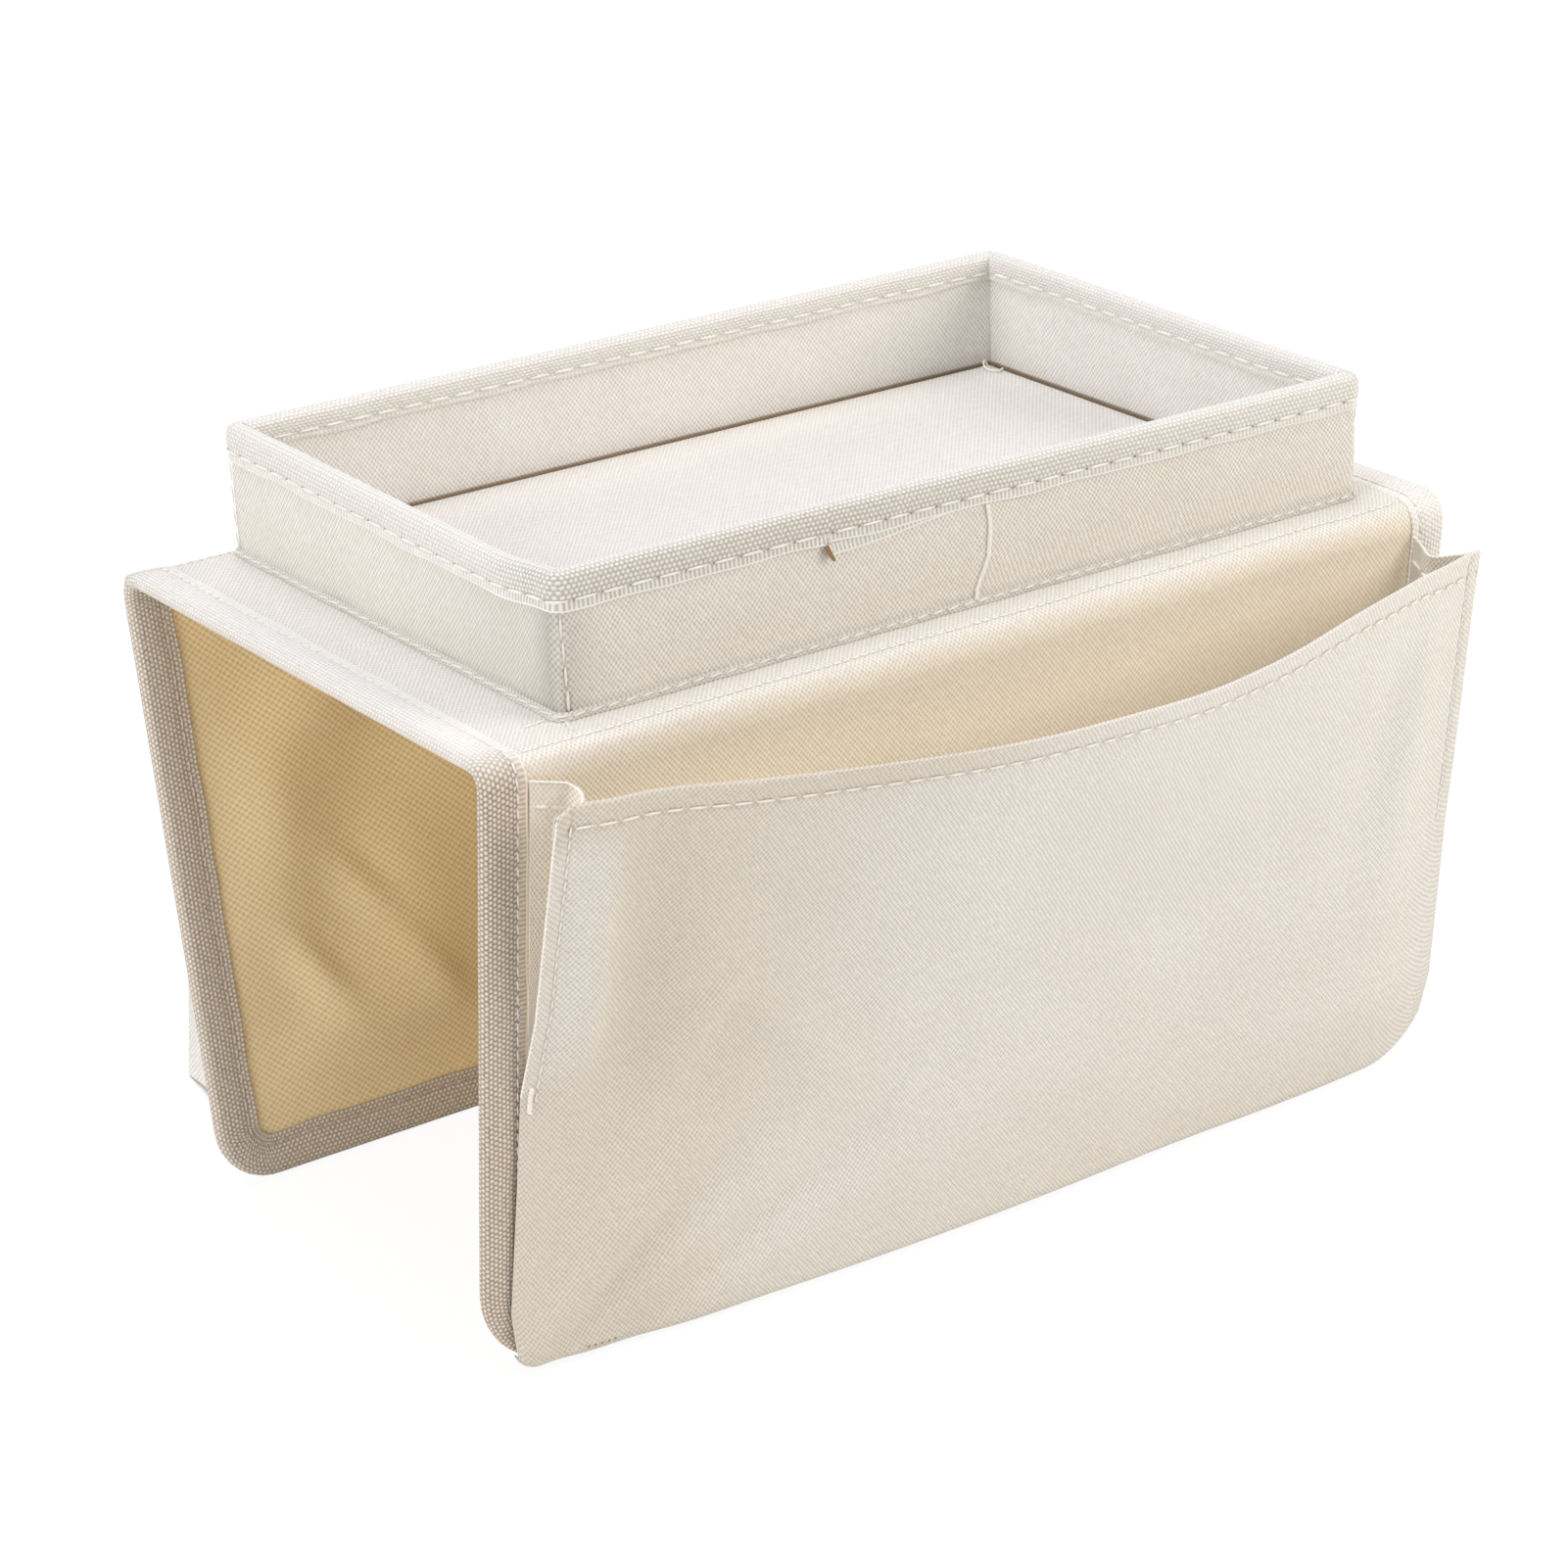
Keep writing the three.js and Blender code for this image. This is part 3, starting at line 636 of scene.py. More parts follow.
# Tray walls: a long strip of the cream cloth round four boards, lapped on the front wall with a raw curved
# end, and a second strip inside. Both are sewn to the top along the foot.
tray_middle = (0.005, 0.003)
tray_half = (0.1395, 0.085)
tray_round = 0.0026
arc_points = 13
rear_rise, corner_rise = 0.0012, 0.0023
wall_low = saddle_top + 0.0003
wall_high = saddle_top + 0.0365
wall_size = wall_high - wall_low
wall_thick = 0.0037
wall_lap = 0.006
lap_x = 0.0045
lap_stops = [0, 0.12, 0.36, 0.6, 0.8, 1]
lap_ends = [-0.0021, -0.0019, 0.0019, 0.0025, 0.0012, 0.0007]


def tray_ring():
    """Points and outward turn round the tray, from the lap on the front wall to the right and back to it."""
    turn = np.linspace(0, math.pi / 2, arc_points)
    x, y, out_x, out_y = [lap_x], [tray_middle[1] - tray_half[1]], [0], [-1]
    for quarter, (sx, sy) in enumerate(((1, -1), (1, 1), (-1, 1), (-1, -1))):
        angle = turn + (quarter - 1) * math.pi / 2
        x += list(tray_middle[0] + sx * (tray_half[0] - tray_round) + tray_round * np.cos(angle))
        y += list(tray_middle[1] + sy * (tray_half[1] - tray_round) + tray_round * np.sin(angle))
        out_x += list(np.cos(angle))
        out_y += list(np.sin(angle))
    ring = np.array([x + x[:1], y + y[:1], out_x + [0], out_y + [-1]])
    return ring, np.r_[0, np.cumsum(np.hypot(*np.diff(ring[:2], axis=1)))]


ring, ring_way = tray_ring()
round_tray = ring_way[-1]
corner_ways = ring_way[[1 + arc_points // 2 + corner * arc_points for corner in range(4)]]
front_left = 3
corner_grooves = np.array([0.0002, 0.0002, 0.0002, 0.0008])


def tray_at(way, lift, high):
    """Points along the tray's outer face, way metres from the lap, lifted off it. The walls are a little
    higher at the rear and at the front left corner."""
    x, y, out_x, out_y = (np.interp(way % round_tray, ring_way, part) for part in ring)
    size = np.hypot(out_x, out_y)
    corner_x, corner_y = tray_middle[0] - tray_half[0], tray_middle[1] - tray_half[1]
    at_corner = (1 - smooth(x - corner_x, 0, 2 * tray_half[0])) * (1 - smooth(y - corner_y, 0, 0.03))
    rise = rear_rise * smooth(y, -0.06, 0.08) + corner_rise * at_corner
    high = high + rise * smooth(high, wall_low, wall_high)
    return x + lift * out_x / size, y + lift * out_y / size, high


def corner_seam(way, v):
    """The seam at a corner leans to one side towards its foot."""
    return way + 0.0003 + 0.0020 * (1 - v)


def wall_puff(way, v):
    """How far the cloth stands off the board between rim and foot."""
    high = wall_low + v * wall_size
    return 0.0004 * ripple(way % round_tray, high, 0.016) + 0.0006 * np.sin(math.pi * v)


def lay_wall(u, v):
    start = np.interp(v, lap_stops, lap_ends)
    way = start + u * (round_tray + wall_lap - start)
    lap = 0.0003 * (1 - smooth(way, 0.006, 0.016)) + 0.0001 * (1 - smooth(way - start, 0, 0.003))
    seams = corner_seam(corner_ways[:, None], np.ravel(v))
    grooves = corner_grooves[:, None] * dip(np.ravel(way) - seams, 0.0008)
    return tray_at(way, lap + wall_puff(way, v) - grooves.sum(axis=0), wall_low + v * wall_size)


def lay_wall_lining(u, v):
    high = wall_low + v * wall_size
    sag = 0.0005 * (1 + ripple(u * 0.9, high, 0.014)) * np.sin(math.pi * v)
    return tray_at(u * round_tray, -wall_thick - sag, high)


near_corner = 0.005
stops = np.ravel([[way - near_corner, way + near_corner] for way in corner_ways])
cell_shares = np.cumsum([0.16, 0.08, 0.13, 0.08, 0.14, 0.08, 0.13, 0.08, 0.12])
round_crowd = (np.r_[0, cell_shares], np.r_[0, stops, round_tray] / round_tray)
# Copies of the cream cloth whose tints are painted shade: grey on the walls' outside and the foot seam, dark
# brown in the inner cloth's gap and corner seams. The inner cloth is also lighter and cooler, painted light
# for the tray's inside and the rear pocket's gussets.
wall_cloth = oxford("cream_wall_cloth", (0.915, 0.88, 0.825, 1), (0.6, 0.585, 0.57, 1), contrast=0.76)
inner_cloth = oxford("cream_inner_cloth", (0.935, 0.91, 0.88, 1), (0.36, 0.26, 0.16, 1))
floor_low, floor_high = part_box("tray_floor_cover")


def wall_tone(u, v):
    """Painted shade: the cloth is darker beside the front left corner, where it is drawn in, and along the
    foot.
    """
    past = u * (round_tray + wall_lap) - corner_ways[front_left]
    front_wall = 0.48 * dip(past, 0.010)
    left_wall = 0.62 * dip(past, 0.008) + 0.3 * (1 - smooth(-past, 0.01, 0.09))
    foot = 0.25 * (1 - smooth(v * wall_size, 0.0022, 0.0042))
    return np.where(past > 0, front_wall, left_wall) + foot


def inner_tone(u, v):
    """Painted shade: the corner seams and the gap below the floor's edge are dark."""
    high = wall_low + v * wall_size - floor_high.z
    gap = smooth(high, -0.0030, -0.0016) * (1 - smooth(high, -0.0006, 0.0001))
    seams = dip(np.ravel(u) * round_tray - corner_ways[:, None], 0.0009).max(axis=0)
    return np.maximum(gap, 0.8 * seams)


wall_cut = (round_tray + wall_lap, wall_size)
inner_cut = (round_tray, wall_size)
wall_cover = cut_cloth("tray_wall_cloth", wall_cut, (480, 16), lay_wall, wall_cloth,
                       crowd=[round_crowd, even], shade=wall_tone)
wall_lining = cut_cloth("tray_wall_inner_cloth", inner_cut, (480, 28), lay_wall_lining, inner_cloth,
                        flip=True, crowd=[round_crowd, ([0, 0.5, 1], [0, 0.22, 1])], shade=inner_tone)
corner_rows = []
for number, way in enumerate(corner_ways):
    share = np.linspace(0.04, 0.82, 12)
    lift = 0.0010 - corner_grooves[number]
    line = tray_at(corner_seam(way, share), lift, wall_low + share * wall_size)
    gauge = 0.0004 if number == front_left else 0.00022
    corner_rows.append(sew(f"tray_corner_stitch_{number}", line, 0.0068, 0.94, gauge, 4, cream_thread))
lap_edge_wide = 0.0012
lap_edge_share = 0.74


def lay_lap_edge(u, v):
    """The raw end's frayed edge, a narrow strip that stops below the rim tape."""
    share = 0.02 + lap_edge_share * v
    way = np.interp(share, lap_stops, lap_ends) + lap_edge_wide * (u - 0.15)
    lift = 0.0006 + wall_puff(way, share) + 0.0001 * np.sin(math.pi * u)
    return tray_at(way, lift, wall_low + share * wall_size)


lap_edge = cut_cloth("tray_lap_edge", (lap_edge_wide, lap_edge_share * wall_size), (4, 40), lay_lap_edge,
                     thread.material, thick=0.0004)
for piece in (wall_cover, wall_lining, lap_edge, *corner_rows):
    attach(piece, "saddle")
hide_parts("tray_wall_cover")
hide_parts("tray_wall_lining")

# Rim tape: white bead-woven tape folded over the top of the walls, sewn with long stitches. Its two ends lap
# on the front wall, where the lower end slips out below and shows its curled raw end.
rim_leg = 0.0082
rim_width = 0.0248
# The last two colours are the beads in painted shade, laid on by rim_tone and on the slipped-out end.
rim_tape = beaded("beaded_rim_tape", (0.91, 0.89, 0.86, 1), (0.73, 0.68, 0.61, 1), (0.89, 0.865, 0.825, 1),
                  (0.46, 0.4, 0.33, 1), rim_width, (0.11, 0.11), 0.35)
rim_stitch = (0.0088, 0.86, 0.00042, 2.5)
rim_seam = wall_high - 0.0057
inner_rim_seam = wall_high - 0.0039
tape_end = round_tray - 0.052
end_length = 0.05
# The raw end's dark brown is painted shade in its curl.
raw_end_shade = Finish("raw_tape_end_shade", base_color=(0.3, 0.19, 0.09, 1), roughness=1.0).material


def lay_rim(u, v):
    way = tape_end + u * round_tray
    leg = np.where(v > 0.5, rim_leg - 0.0024, rim_leg)
    past, off = tape_fold(v, leg, wall_thick, 0.00125, 0.168)
    uneven = 0.00045 * ripple(way, v * 0.01, 0.014)
    return tray_at(way, off, wall_high + past + uneven * np.minimum(abs(v - 0.5) * 2, 1))


def lay_rim_end(u, v):
    way = tape_end + u * end_length - 0.0008 * np.sin(3 * v)
    slip = 0.0034 * (1 - smooth(u, 0.1, 1.0))
    curl = 0.0012 * np.exp(-u / 0.035) * (1 - v)
    return tray_at(way, 0.0005 + 0.0005 * (1 - v) + curl, wall_high - rim_leg - slip + v * 0.0085)


def rim_tone(u, v):
    """Painted shade: the beads are darkest at the front left corner and less and less away from it, most on
    the tape's outer side.
    """
    way = (tape_end + u * round_tray) % round_tray
    past = way - corner_ways[front_left]
    past = np.where(past < -round_tray / 2, past + round_tray, past)
    front_wall = (past >= 0) * (1 - 0.8 * smooth(past, 0.02, 0.27)) * (past < 0.275)
    left_wall = (past < 0) * (1 - 0.85 * smooth(-past, 0, 0.04))
    return np.maximum(np.maximum(front_wall, left_wall), 0.1) * (1 - smooth(v, 0.36, 0.55)) + 0.12


rim = cut_cloth("tray_rim_tape", (round_tray, 1), (420, 30), lay_rim, rim_tape, tape_thick,
                shade=rim_tone)
# The slipped-out end has painted shade all over.
rim_end = cut_cloth("tray_rim_tape_end", (end_length, 0.35), (50, 10), lay_rim_end, rim_tape,
                    shade=lambda u, v: 0.8)
ways = np.linspace(0.001, round_tray - 0.001, 700) + tape_end
rim_outer = sew("tray_rim_outer_stitch", tray_at(ways, 0.0014, rim_seam), *rim_stitch)
rim_inner = sew("tray_rim_inner_stitch", tray_at(ways, -wall_thick - 0.0014, inner_rim_seam), *rim_stitch)
hole_line = tray_at(ways - rim_stitch[0] / 2, 0.00125, rim_seam)
rim_holes = sew("tray_rim_needle_holes", hole_line, rim_stitch[0], 0.08, 0.00034, 0, needle_hole)
share = np.linspace(0, 1, 8)
raw_line = tray_at(tape_end - 0.0012 + 0.0026 * share ** 2, 0.0016 + 0.0006 * share,
                   wall_high - rim_leg - 0.0055 * share)
rim_raw = sew("tray_rim_raw_end", raw_line, 0.006, 1.0, 0.0007, 0, raw_end_shade)
for piece in (rim, rim_end, rim_outer, rim_inner, rim_holes, rim_raw):
    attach(piece, "saddle")
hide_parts("tray_rim_binding")

# Foot seam: the turned-out edge of the wall's cream cloth, laid on the top and topstitched all round. Two
# ends of the thread are left at the front left corner.
foot_pitch = 0.0054
seam_stops = [0, 0.25, 0.4, 0.65, 0.85, 1]
seam_out = [0.0001, 0.0007, 0.0009, 0.0013, 0.0016, 0.0015]
seam_high = [0.0022, 0.0017, 0.0012, 0.0012, 0.0007, 0.0001]


def lay_foot_seam(u, v):
    way = u * round_tray
    out, high = np.interp(v, seam_stops, seam_out), np.interp(v, seam_stops, seam_high)
    rope = 0.0003 * np.sin(way / foot_pitch * 2 * math.pi - 1.2) * np.sin(math.pi * v)
    return tray_at(way, out + 0.0003 * ripple(way, 0 * way, 0.01) * v, saddle_top + high + rope)


# The foot seam has painted shade all over, darker than the walls.
foot_seam = cut_cloth("tray_foot_seam", (round_tray, 0.004), (900, 8), lay_foot_seam, wall_cloth, flip=True,
                      shade=lambda u, v: 0.35)
foot_line = tray_at(ways, 0.0012, saddle_top + 0.0014)
foot_row = sew("tray_foot_topstitch", foot_line, foot_pitch, 0.9, 0.00036, 13, cream_thread)
foot_tails = []
for word, first, last in (("right", (-0.1338, -0.0835), (-0.1356, -0.0900)),
                          ("left", (-0.1376, -0.0792), (-0.1460, -0.0802))):
    tail_line = (*np.linspace(first, last, 8).T, saddle_top + 0.0004)
    foot_tails.append(sew(f"tray_foot_{word}_tail", tail_line, 0.0033, 1.1, 0.00028))
for piece in (foot_seam, foot_row, *foot_tails):
    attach(piece, "saddle")
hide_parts("tray_base_welt")

# Tray floor: a loose board covered with the cream cloth, which is wrapped over its edges and glued
# underneath. A gap shows between it and the walls, darkened by painted shade on the walls' inner cloth.
floor_half = np.array([(floor_high.x - floor_low.x) / 2, (floor_high.y - floor_low.y) / 2]) - 0.0008
floor_rise = floor_high.z - floor_low.z
floor_tuck = 0.012
floor_edge = 0.0013
edge_saving = 0.43
edge_band = 0.016
floor_cut = 2 * floor_half + 2 * (floor_rise + floor_tuck - floor_edge * edge_saving)


def floor_side(flat, half):
    """Where a point of the flat cover comes to along one axis, and how far it has gone over the edge."""
    past = np.maximum(abs(flat) - (half - floor_edge), 0)
    turn = np.minimum(past / floor_edge, math.pi / 2)
    down = floor_edge * (1 - np.cos(turn)) + np.maximum(past - floor_edge * math.pi / 2, 0)
    tucked = np.maximum(down - floor_rise, 0)
    side = np.minimum(abs(flat), half - floor_edge) + floor_edge * np.sin(turn) - tucked
    return np.sign(flat) * side, np.minimum(down, floor_rise)


def lay_floor(u, v):
    x, down_x = floor_side((u - 0.5) * floor_cut[0], floor_half[0])
    y, down_y = floor_side((v - 0.5) * floor_cut[1], floor_half[1])
    inside = smooth(floor_half[0] - abs(x), 0, 0.02) * smooth(floor_half[1] - abs(y), 0, 0.02)
    dome = 0.0003 * inside * (1 + ripple(x, y, 0.03))
    down = np.maximum(down_x, down_y)
    return x + tray_middle[0], y + tray_middle[1], floor_high.z - down + dome * (down < 0.0005)


floor_crowd = [([0, 0.2, 0.8, 1], [0, edge, 1 - edge, 1]) for edge in edge_band / floor_cut]
floor_cover = cut_cloth("tray_floor_cloth", tuple(floor_cut), (110, 90), lay_floor, cream, thick=thin_cloth,
                        crowd=floor_crowd)
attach(floor_cover, "tray_floor")
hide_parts("tray_floor_cover")

# Front pocket panel: one cut of the cream cloth, hemmed at its mouth, turned in at its foot and sewn to the
# flap. It bows out from the flap, dips at the middle of its mouth and has soft dents from the sewing.
pocket_shift = 0.005
pocket_half = 0.160
pocket_cut = (0.335, 0.194)
pocket_body = 0.18
pocket_bottom = 0.014 / pocket_cut[1]
pocket_tall = 0.165
pocket_deep = 0.1744
pocket_face = 0.0008
tack = 0.0897
hem = 0.0062
hem_turn = 0.009
hem_bend = 0.0008
ends = (("left", -1), ("right", 1))
mouth_stops = [-1, -0.9, -0.68, -0.46, -0.29, -0.13, 0.02, 0.23, 0.44, 0.61, 0.76, 1]
sags = [-0.0004, -0.0022, -0.001, 0.0008, 0.0024, 0.0035, 0.0039, 0.0056, 0.0048, 0.0012, 0.001, 0.0024]
right_stops, right_offs = [0, 0.05, 0.09, 0.145, 0.175], [0.0168, 0.0146, 0.0123, 0.0123, 0.0071]
swing_stops, swings = [0, 0.065, 0.088, 0.116, 0.156, 0.175], [0, 0.0004, 0.0028, 0.0038, 0.0056, 0.0030]
left_corner, right_corner = 0.006, 0.020
left_turn, right_turn = -0.1495, 0.146

# Each dent's share across and share up, its slant in degrees, its length, its width and how far it stands
# out.
pocket_dents = (
    (-0.905, 0.66, 90, 0.052, 0.0062, 0.0030), (-0.80, 0.66, 90, 0.050, 0.0120, -0.0034),
    (-0.56, 0.66, 80, 0.045, 0.0300, -0.0030), (-0.30, 0.70, 100, 0.045, 0.0300, -0.0014),
    (-0.655, 0.61, 40, 0.020, 0.0040, 0.0017), (-0.61, 0.66, 32, 0.018, 0.0040, -0.0013),
    (-0.71, 0.50, 62, 0.020, 0.0050, 0.0015), (-0.50, 0.48, 140, 0.022, 0.0060, 0.0014),
    (-0.40, 0.42, 38, 0.040, 0.0100, 0.0018), (-0.84, 0.16, 50, 0.040, 0.0050, 0.0024),
    (-0.72, 0.20, 42, 0.050, 0.0060, -0.0018), (-0.64, 0.16, 34, 0.050, 0.0056, 0.0016),
    (-0.52, 0.17, 30, 0.055, 0.0070, -0.0015), (-0.44, 0.11, 22, 0.060, 0.0070, 0.0016),
    (-0.92, 0.30, 80, 0.040, 0.0060, -0.0010), (-0.80, 0.36, 68, 0.030, 0.0060, 0.0012),
    (-0.25, 0.33, 62, 0.022, 0.0050, 0.0008), (0.10, 0.25, 18, 0.070, 0.0130, 0.0010),
    (0.55, 0.35, 70, 0.050, 0.0250, -0.0014), (0.25, 0.75, 95, 0.040, 0.0250, 0.0012),
    (0.86, 0.62, 86, 0.050, 0.0085, 0.0018), (0.78, 0.70, 80, 0.040, 0.0100, -0.0016),
)


def eased(share, stops, levels):
    """A line through the levels at the stops, with its corners eased."""
    return sum(np.interp(share + step, stops, levels) for step in (-0.06, -0.03, 0, 0.03, 0.06)) / 5


def pocket_mouth(across):
    """How far below the fold the mouth's edge is: it sags in the middle and has a wave at the right."""
    return eased(across, mouth_stops, sags) + 0.0026 * smooth(-across, 0.968, 1)


def pocket_foot(across):
    """How far below the fold the foot is: nearly square at the left, round at the right."""
    x = pocket_shift + across * pocket_half
    left = left_corner - np.sqrt(left_corner ** 2 - np.clip(left_turn - x, 0, left_corner) ** 2)
    right_low = np.sqrt(right_corner ** 2 - np.clip(x - right_turn, 0, right_corner) ** 2)
    return pocket_deep - right_corner + right_low - left


def pocket_off(across, down):
    """How far the panel's inner face stands off the flap, by share across and way down from the fold."""
    foot = pocket_foot(across)
    rise = np.clip((foot - down) / foot, 0, 1)
    crown = np.clip(1 - across ** 2, 0, 1)
    side = 0.0018 + 0.0122 * np.clip((tack - down) / (tack - 0.0035), 0, 1.05)
    off = side + 0.031 * crown ** 1.25 * rise ** 1.3 + 0.010 * crown * (1 - rise) ** 2
    off = off + (np.interp(down, right_stops, right_offs) - side) * smooth(across, 0.25, 0.95)
    for x, y, angle, long, wide, much in pocket_dents:
        dx, dy = (across - x) * pocket_half, (rise - y) * pocket_tall
        turn = math.radians(angle)
        along = dx * math.cos(turn) + dy * math.sin(turn)
        over = dy * math.cos(turn) - dx * math.sin(turn)
        off = off + much * dip(along, long) * dip(over, wide)
    return np.maximum(off, 0.0016)


def pocket_x(across, down):
    """The panel's left edge swings out below the tack, its right edge stands out all the way."""
    swing = np.interp(down, swing_stops, swings) * smooth(-across, 0.6, 1)
    spread = (0.001 + 0.002 * smooth(down, 0.01, 0.1)) * smooth(across, 0.5, 1)
    return pocket_shift + across * pocket_half - swing + spread


def pocket_at(across, down, lift=0.0):
    """Points on the panel's outer face, lifted off it. A stitched groove sets off a narrow lip at each
    side."""
    from_edge = (1 - abs(across)) * pocket_half
    groove = 0.0006 * dip(from_edge - 0.00423, 0.0009) * smooth(tack + 0.01 - down, 0, 0.03)
    lift = pocket_off(across, down) + pocket_face + lift - groove
    return front.off_flap(pocket_x(across, down), down, lift)


def turned_hem(v, length):
    """A hem at the end of a cut: the share of the way up to its edge, the way that is turned in past it,
    how far that comes down again, and how far it lies behind the face."""
    start = 1 - hem_turn / length
    past = np.maximum(v - start, 0) * length
    bend = np.clip(past / hem_bend, 0, math.pi)
    down = np.maximum(past - hem_bend * math.pi, 0) - hem_bend * np.sin(bend)
    return np.clip(v / start, 0, 1), past, down, hem_bend * (1 - np.cos(bend))


def above_bottom(v):
    return np.maximum(v - pocket_bottom, 0) / (1 - pocket_bottom)


def lay_pocket(u, v):
    across = 2 * u - 1
    mouth, foot = pocket_mouth(across), pocket_foot(across)
    out = np.clip(v / pocket_bottom, 0, 1)
    body, past, again, behind = turned_hem(above_bottom(v), pocket_body)
    down = foot + (mouth - foot) * body + again
    groove = 0.00035 * dip(down - mouth - hem, 0.0012) * (past == 0)
    tuck = (1 - out) * (pocket_off(across, foot) + 0.0006)
    down = down + 0.0006 * np.sin(math.pi * out) * (out < 1)
    return pocket_at(across, down, -behind - groove - tuck)


def pocket_tone(u, v):
    """Painted shade: the panel's left part, its hem included, is darker and warmer, as if the golden flap
    showed through, less so in a strip where the gusset's seam lies behind it and low in the middle."""
    across = 2 * u - 1
    v = above_bottom(v)
    strip = (1 - smooth(across, -0.905, -0.868)) * smooth(v, 0.42, 0.58) * (1 - smooth(v, 0.86, 0.92))
    hem_shade = 0.6 * smooth(v, 0.905, 0.915) * (1 - smooth(across, -0.3, 0.1))
    left = (0.95 - 0.95 * smooth(across, -0.84, -0.1)) * (0.85 + 0.15 * smooth(v, 0.25, 0.55))
    low_middle = (1 - smooth(v, 0.12, 0.4)) * smooth(across, -0.8, -0.5)
    return np.clip(left * (1 - 0.9 * low_middle) - 0.5 * strip + hem_shade, 0, 1)


# A copy of the cream cloth whose tint is the painted shade that pocket_tone lays on.
pocket_cloth = oxford("cream_pocket_cloth", (0.885, 0.85, 0.795, 1), (0.865, 0.832, 0.772, 1))
pocket_crowd = [([0, 0.09, 0.91, 1], [0, 0.024, 0.976, 1]),
                ([0, 0.06, 0.78, 1], [0, pocket_bottom, 0.91, 1])]
panel = cut_cloth("front_pocket_cloth", pocket_cut, (180, 140), lay_pocket, pocket_cloth, crowd=pocket_crowd,
                  shade=pocket_tone)
raw_edge = (0.0014, 1.3, 0.0004)
edge_stitch = (0.0042, 0.8, 0.00032)
hem_shares = np.linspace(-0.97, 0.97, 160)
hem_line = pocket_at(hem_shares, pocket_mouth(hem_shares) + hem, 0.00012)
hem_row = sew("front_pocket_hem_stitch", hem_line, 0.0062, 0.86, 0.00038)
downs = np.linspace(0.004, tack + 0.003, 60)
edge_downs = np.linspace(0.0025, tack, 60)
edge_rows = [sew(f"front_pocket_{word}_stitch", pocket_at(side * 0.9735, downs, 0.0002), *edge_stitch)
             for word, side in ends]
side_edges = [sew(f"front_pocket_{word}_edge", pocket_at(side, edge_downs, -0.0003), *raw_edge)
              for word, side in ends]
tack_line = pocket_at(-0.985, np.linspace(tack - 0.004, tack + 0.004, 8), 0.0002)
bar_tack = sew("front_pocket_left_tack", tack_line, 0.001, 0.95, 0.0009, 60)
foot_shares = np.linspace(-0.88, -0.81, 20)
foot_line = pocket_at(foot_shares, pocket_foot(foot_shares) - 0.0015, 0.00005)
foot_stitch = sew("front_pocket_foot_stitch", foot_line, 0.0021, 0.6, 0.0003, 40, needle_hole)
panel_rows = [hem_row, foot_stitch, bar_tack, *edge_rows, *side_edges]
for piece in (panel, *panel_rows):
    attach(piece, "front_pocket")
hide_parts("front_pocket_panel")

# Front pocket gussets: a strip of the cream cloth at each side, pleated inward like a bellows, so that the
# mouth opens. One edge is sewn to the flap, the other to the panel; the strip runs out below the bar tack.
gusset_seam = 0.1548
gusset_edge = 0.985
root_off = 0.0013

# Shares across the strip at its top, with the way in from the flap's seam, the share out to the panel and
# the way down from the fold at each.
bellows = ([0, 0.35, 0.5, 0.64, 1], [0, 0.0118, 0.0128, 0.0098, 0], [0, 0.10, 0.42, 0.66, 1],
           [-0.0036, -0.0006, 0.0008, 0.0022, 0.0014])
spread_out = ([0, 0.3, 0.55, 1], [0, -0.0008, 0.0012, 0], [0, 0.22, 0.5, 1],
              [0.0004, 0.0032, 0.0042, 0.0022])


def lay_gusset(side, path, low_end):
    def place(u, v):
        inward, reach, top = (eased(u, path[0], part) for part in path[1:])
        down = top + (1 - v) * (low_end - top)
        edge_off = pocket_off(side * gusset_edge, down) + 0.0002
        seam_x, edge_x = side * gusset_seam, pocket_x(side * gusset_edge, down)
        depth = smooth(edge_off, 0.0025, 0.012)
        x = seam_x + (edge_x - seam_x) * smooth(u, 0.4, 1) - side * depth * inward
        off = root_off + (edge_off - root_off) * reach * np.minimum(u / 0.06, 1)
        return front.off_flap(x, down, off)
    return place


def sew_in(piece, side, x, down):
    """Bakes the piece's transform into its mesh."""
    root = as_point(side.off_flap(x, down, root_off))
    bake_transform(piece)


# Painted light and shade on each gusset: the left one has the cream cloth's warm glow, the right one the
# pocket cloth's painted shade, both less near the top.
for word, side, path, low_end, cloth, painted_tone in (
    ("left", -1, bellows, 0.168, cream, 0.42),
    ("right", 1, spread_out, 0.160, pocket_cloth, 1.0),
):
    name = f"front_pocket_{word}_gusset"
    place = lay_gusset(side, path, low_end)
    gusset = cut_cloth(name + "_cloth", (0.032, low_end), (26, 66), place, cloth, flip=side > 0,
                       shade=lambda u, v: painted_tone - 0.2 * smooth(v, 0.9, 0.98))
    seam_x, seam_y, seam_z = place(np.linspace(0.04, 0.96, 40), np.full(40, 0.958))
    row = sew(name + "_stitch", (seam_x - 0.0006 * (side > 0), seam_y, seam_z), 0.005, 0.84, 0.0006)
    edge = sew(name + "_edge", place(np.linspace(0, 1, 60), np.ones(60)), *raw_edge)
    for piece in (gusset, row, edge):
        sew_in(piece, front, side * 0.155, 0.02)
    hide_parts(name)

# Rear pocket: a boxed pocket of the cream cloth low on the rear flap: a panel with a hemmed mouth, a flat
# gusset at each side and a bottom strip. The photo shows a slice of its left side.
rear_half = 0.163
rear_deep = 0.100
rear_foot = 0.14843
rear_mouth = rear_foot - rear_deep
rear_cut = (0.328, 0.111)
rear_gusset_cut = (0.020, 0.0985)
rear_bottom_cut = (0.326, 0.027)


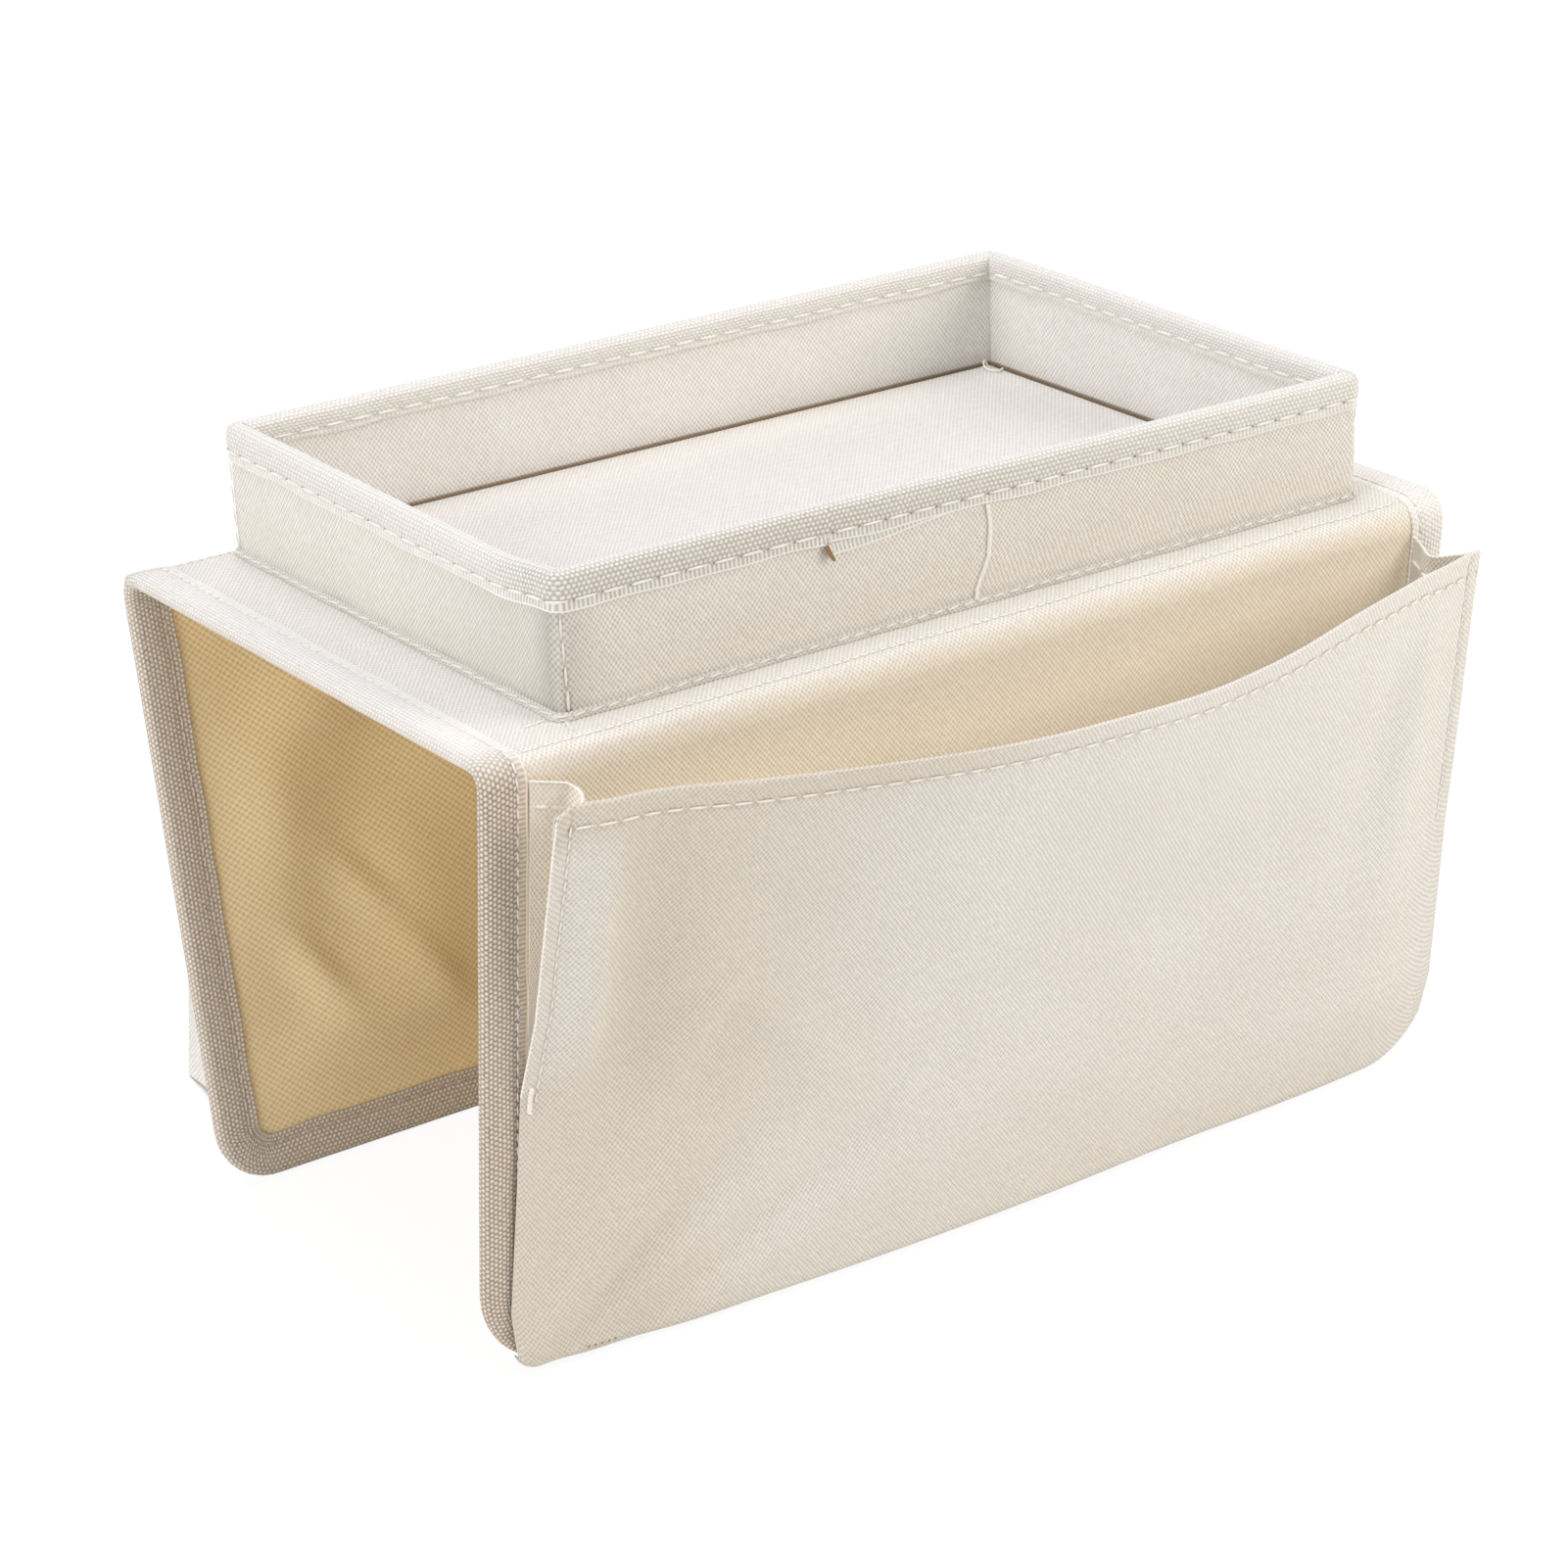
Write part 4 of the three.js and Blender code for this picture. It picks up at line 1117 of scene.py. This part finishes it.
def rear_off(across, down):
    """How far the panel's inner face stands off the flap, by share across and way down from the fold."""
    rise = np.clip((rear_foot - down) / rear_deep, 0, 1)
    crown = np.clip(1 - across ** 2, 0, 1)
    side = np.interp(down, [0.048, 0.1, rear_foot], [0.0018, 0.0038, 0.0195])
    return side + (0.027 - 0.0155 * rise - side) * crown ** 0.5


def rear_at(across, down, lift=0.0):
    return rear.off_flap(across * rear_half, down, rear_off(across, down) + pocket_face + lift)


def lay_rear_panel(u, v):
    across = 2 * u - 1
    body, _, again, behind = turned_hem(v, rear_cut[1])
    down = rear_foot - rear_deep * body + again
    dent = 0.0009 * ripple(across * 0.16, down, 0.022) * np.sin(math.pi * body)
    return rear_at(across, down, dent - behind)


def lay_rear_gusset(side):
    def place(u, v):
        down = rear_mouth + 0.0005 + (1 - v) * (0.0988 + 0.0072 * (1 - u))
        reach = rear_off(side, down) + 0.0003
        tuck = 0.0012 * np.sin(math.pi * u)
        return rear.off_flap(side * (rear_half - 0.0003 - tuck), down, root_off + (reach - root_off) * u)
    return place


def lay_rear_bottom(u, v):
    across = 2 * u - 1
    down = rear_foot + 0.0073 - 0.0070 * v
    return rear.off_flap(across * rear_half, down, 0.0014 + (rear_off(across, rear_foot) - pocket_face) * v)


rear_panel = cut_cloth("rear_pocket_cloth", rear_cut, (100, 80), lay_rear_panel, cream, flip=True)
rear_hem_line = rear_at(hem_shares, rear_mouth + hem, 0.0001)
rear_hem = sew("rear_pocket_hem_stitch", rear_hem_line, 0.0056, 0.84, 0.00032)
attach(rear_panel, "rear_pocket")
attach(rear_hem, "rear_pocket")
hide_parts("rear_pocket_panel")
for word, side in ends:
    name = f"rear_pocket_{word}_gusset"
    gusset = cut_cloth(name + "_cloth", rear_gusset_cut, (16, 40), lay_rear_gusset(side), inner_cloth,
                       thick=thin_cloth, flip=side > 0)
    sew_in(gusset, rear, 0, rear_foot)
    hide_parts(name)
rear_bottom = cut_cloth("rear_pocket_bottom_cloth", rear_bottom_cut, (60, 10), lay_rear_bottom, cream,
                        flip=True)
sew_in(rear_bottom, rear, 0, rear_foot)
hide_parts("rear_pocket_bottom")

# Loose thread end: a short loop of the off-white sewing thread that comes up out of the gap at the back
# corner of the tray floor, left there when the seam was sewn.
bpy.ops.curve.primitive_bezier_curve_add()
loop = bpy.context.object
loop.name = loop.data.name = "loose_thread_end"
loop.data.dimensions = "3D"
loop.data.bevel_depth = 0.00032
loop.data.bevel_resolution = 2
spline = loop.data.splines[0]
spline.bezier_points.add(3)
for knot, place in zip(spline.bezier_points, (
    (0.1372, 0.0806, 0.0062), (0.1352, 0.0800, 0.0094), (0.1322, 0.0760, 0.0086), (0.1342, 0.0722, 0.0080),
    (0.1366, 0.0726, 0.0082),
)):
    knot.co = place
    knot.handle_left_type = knot.handle_right_type = "AUTO"
bpy.ops.object.convert(target="MESH")
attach(dress(bpy.context.object, thread.material), "saddle")
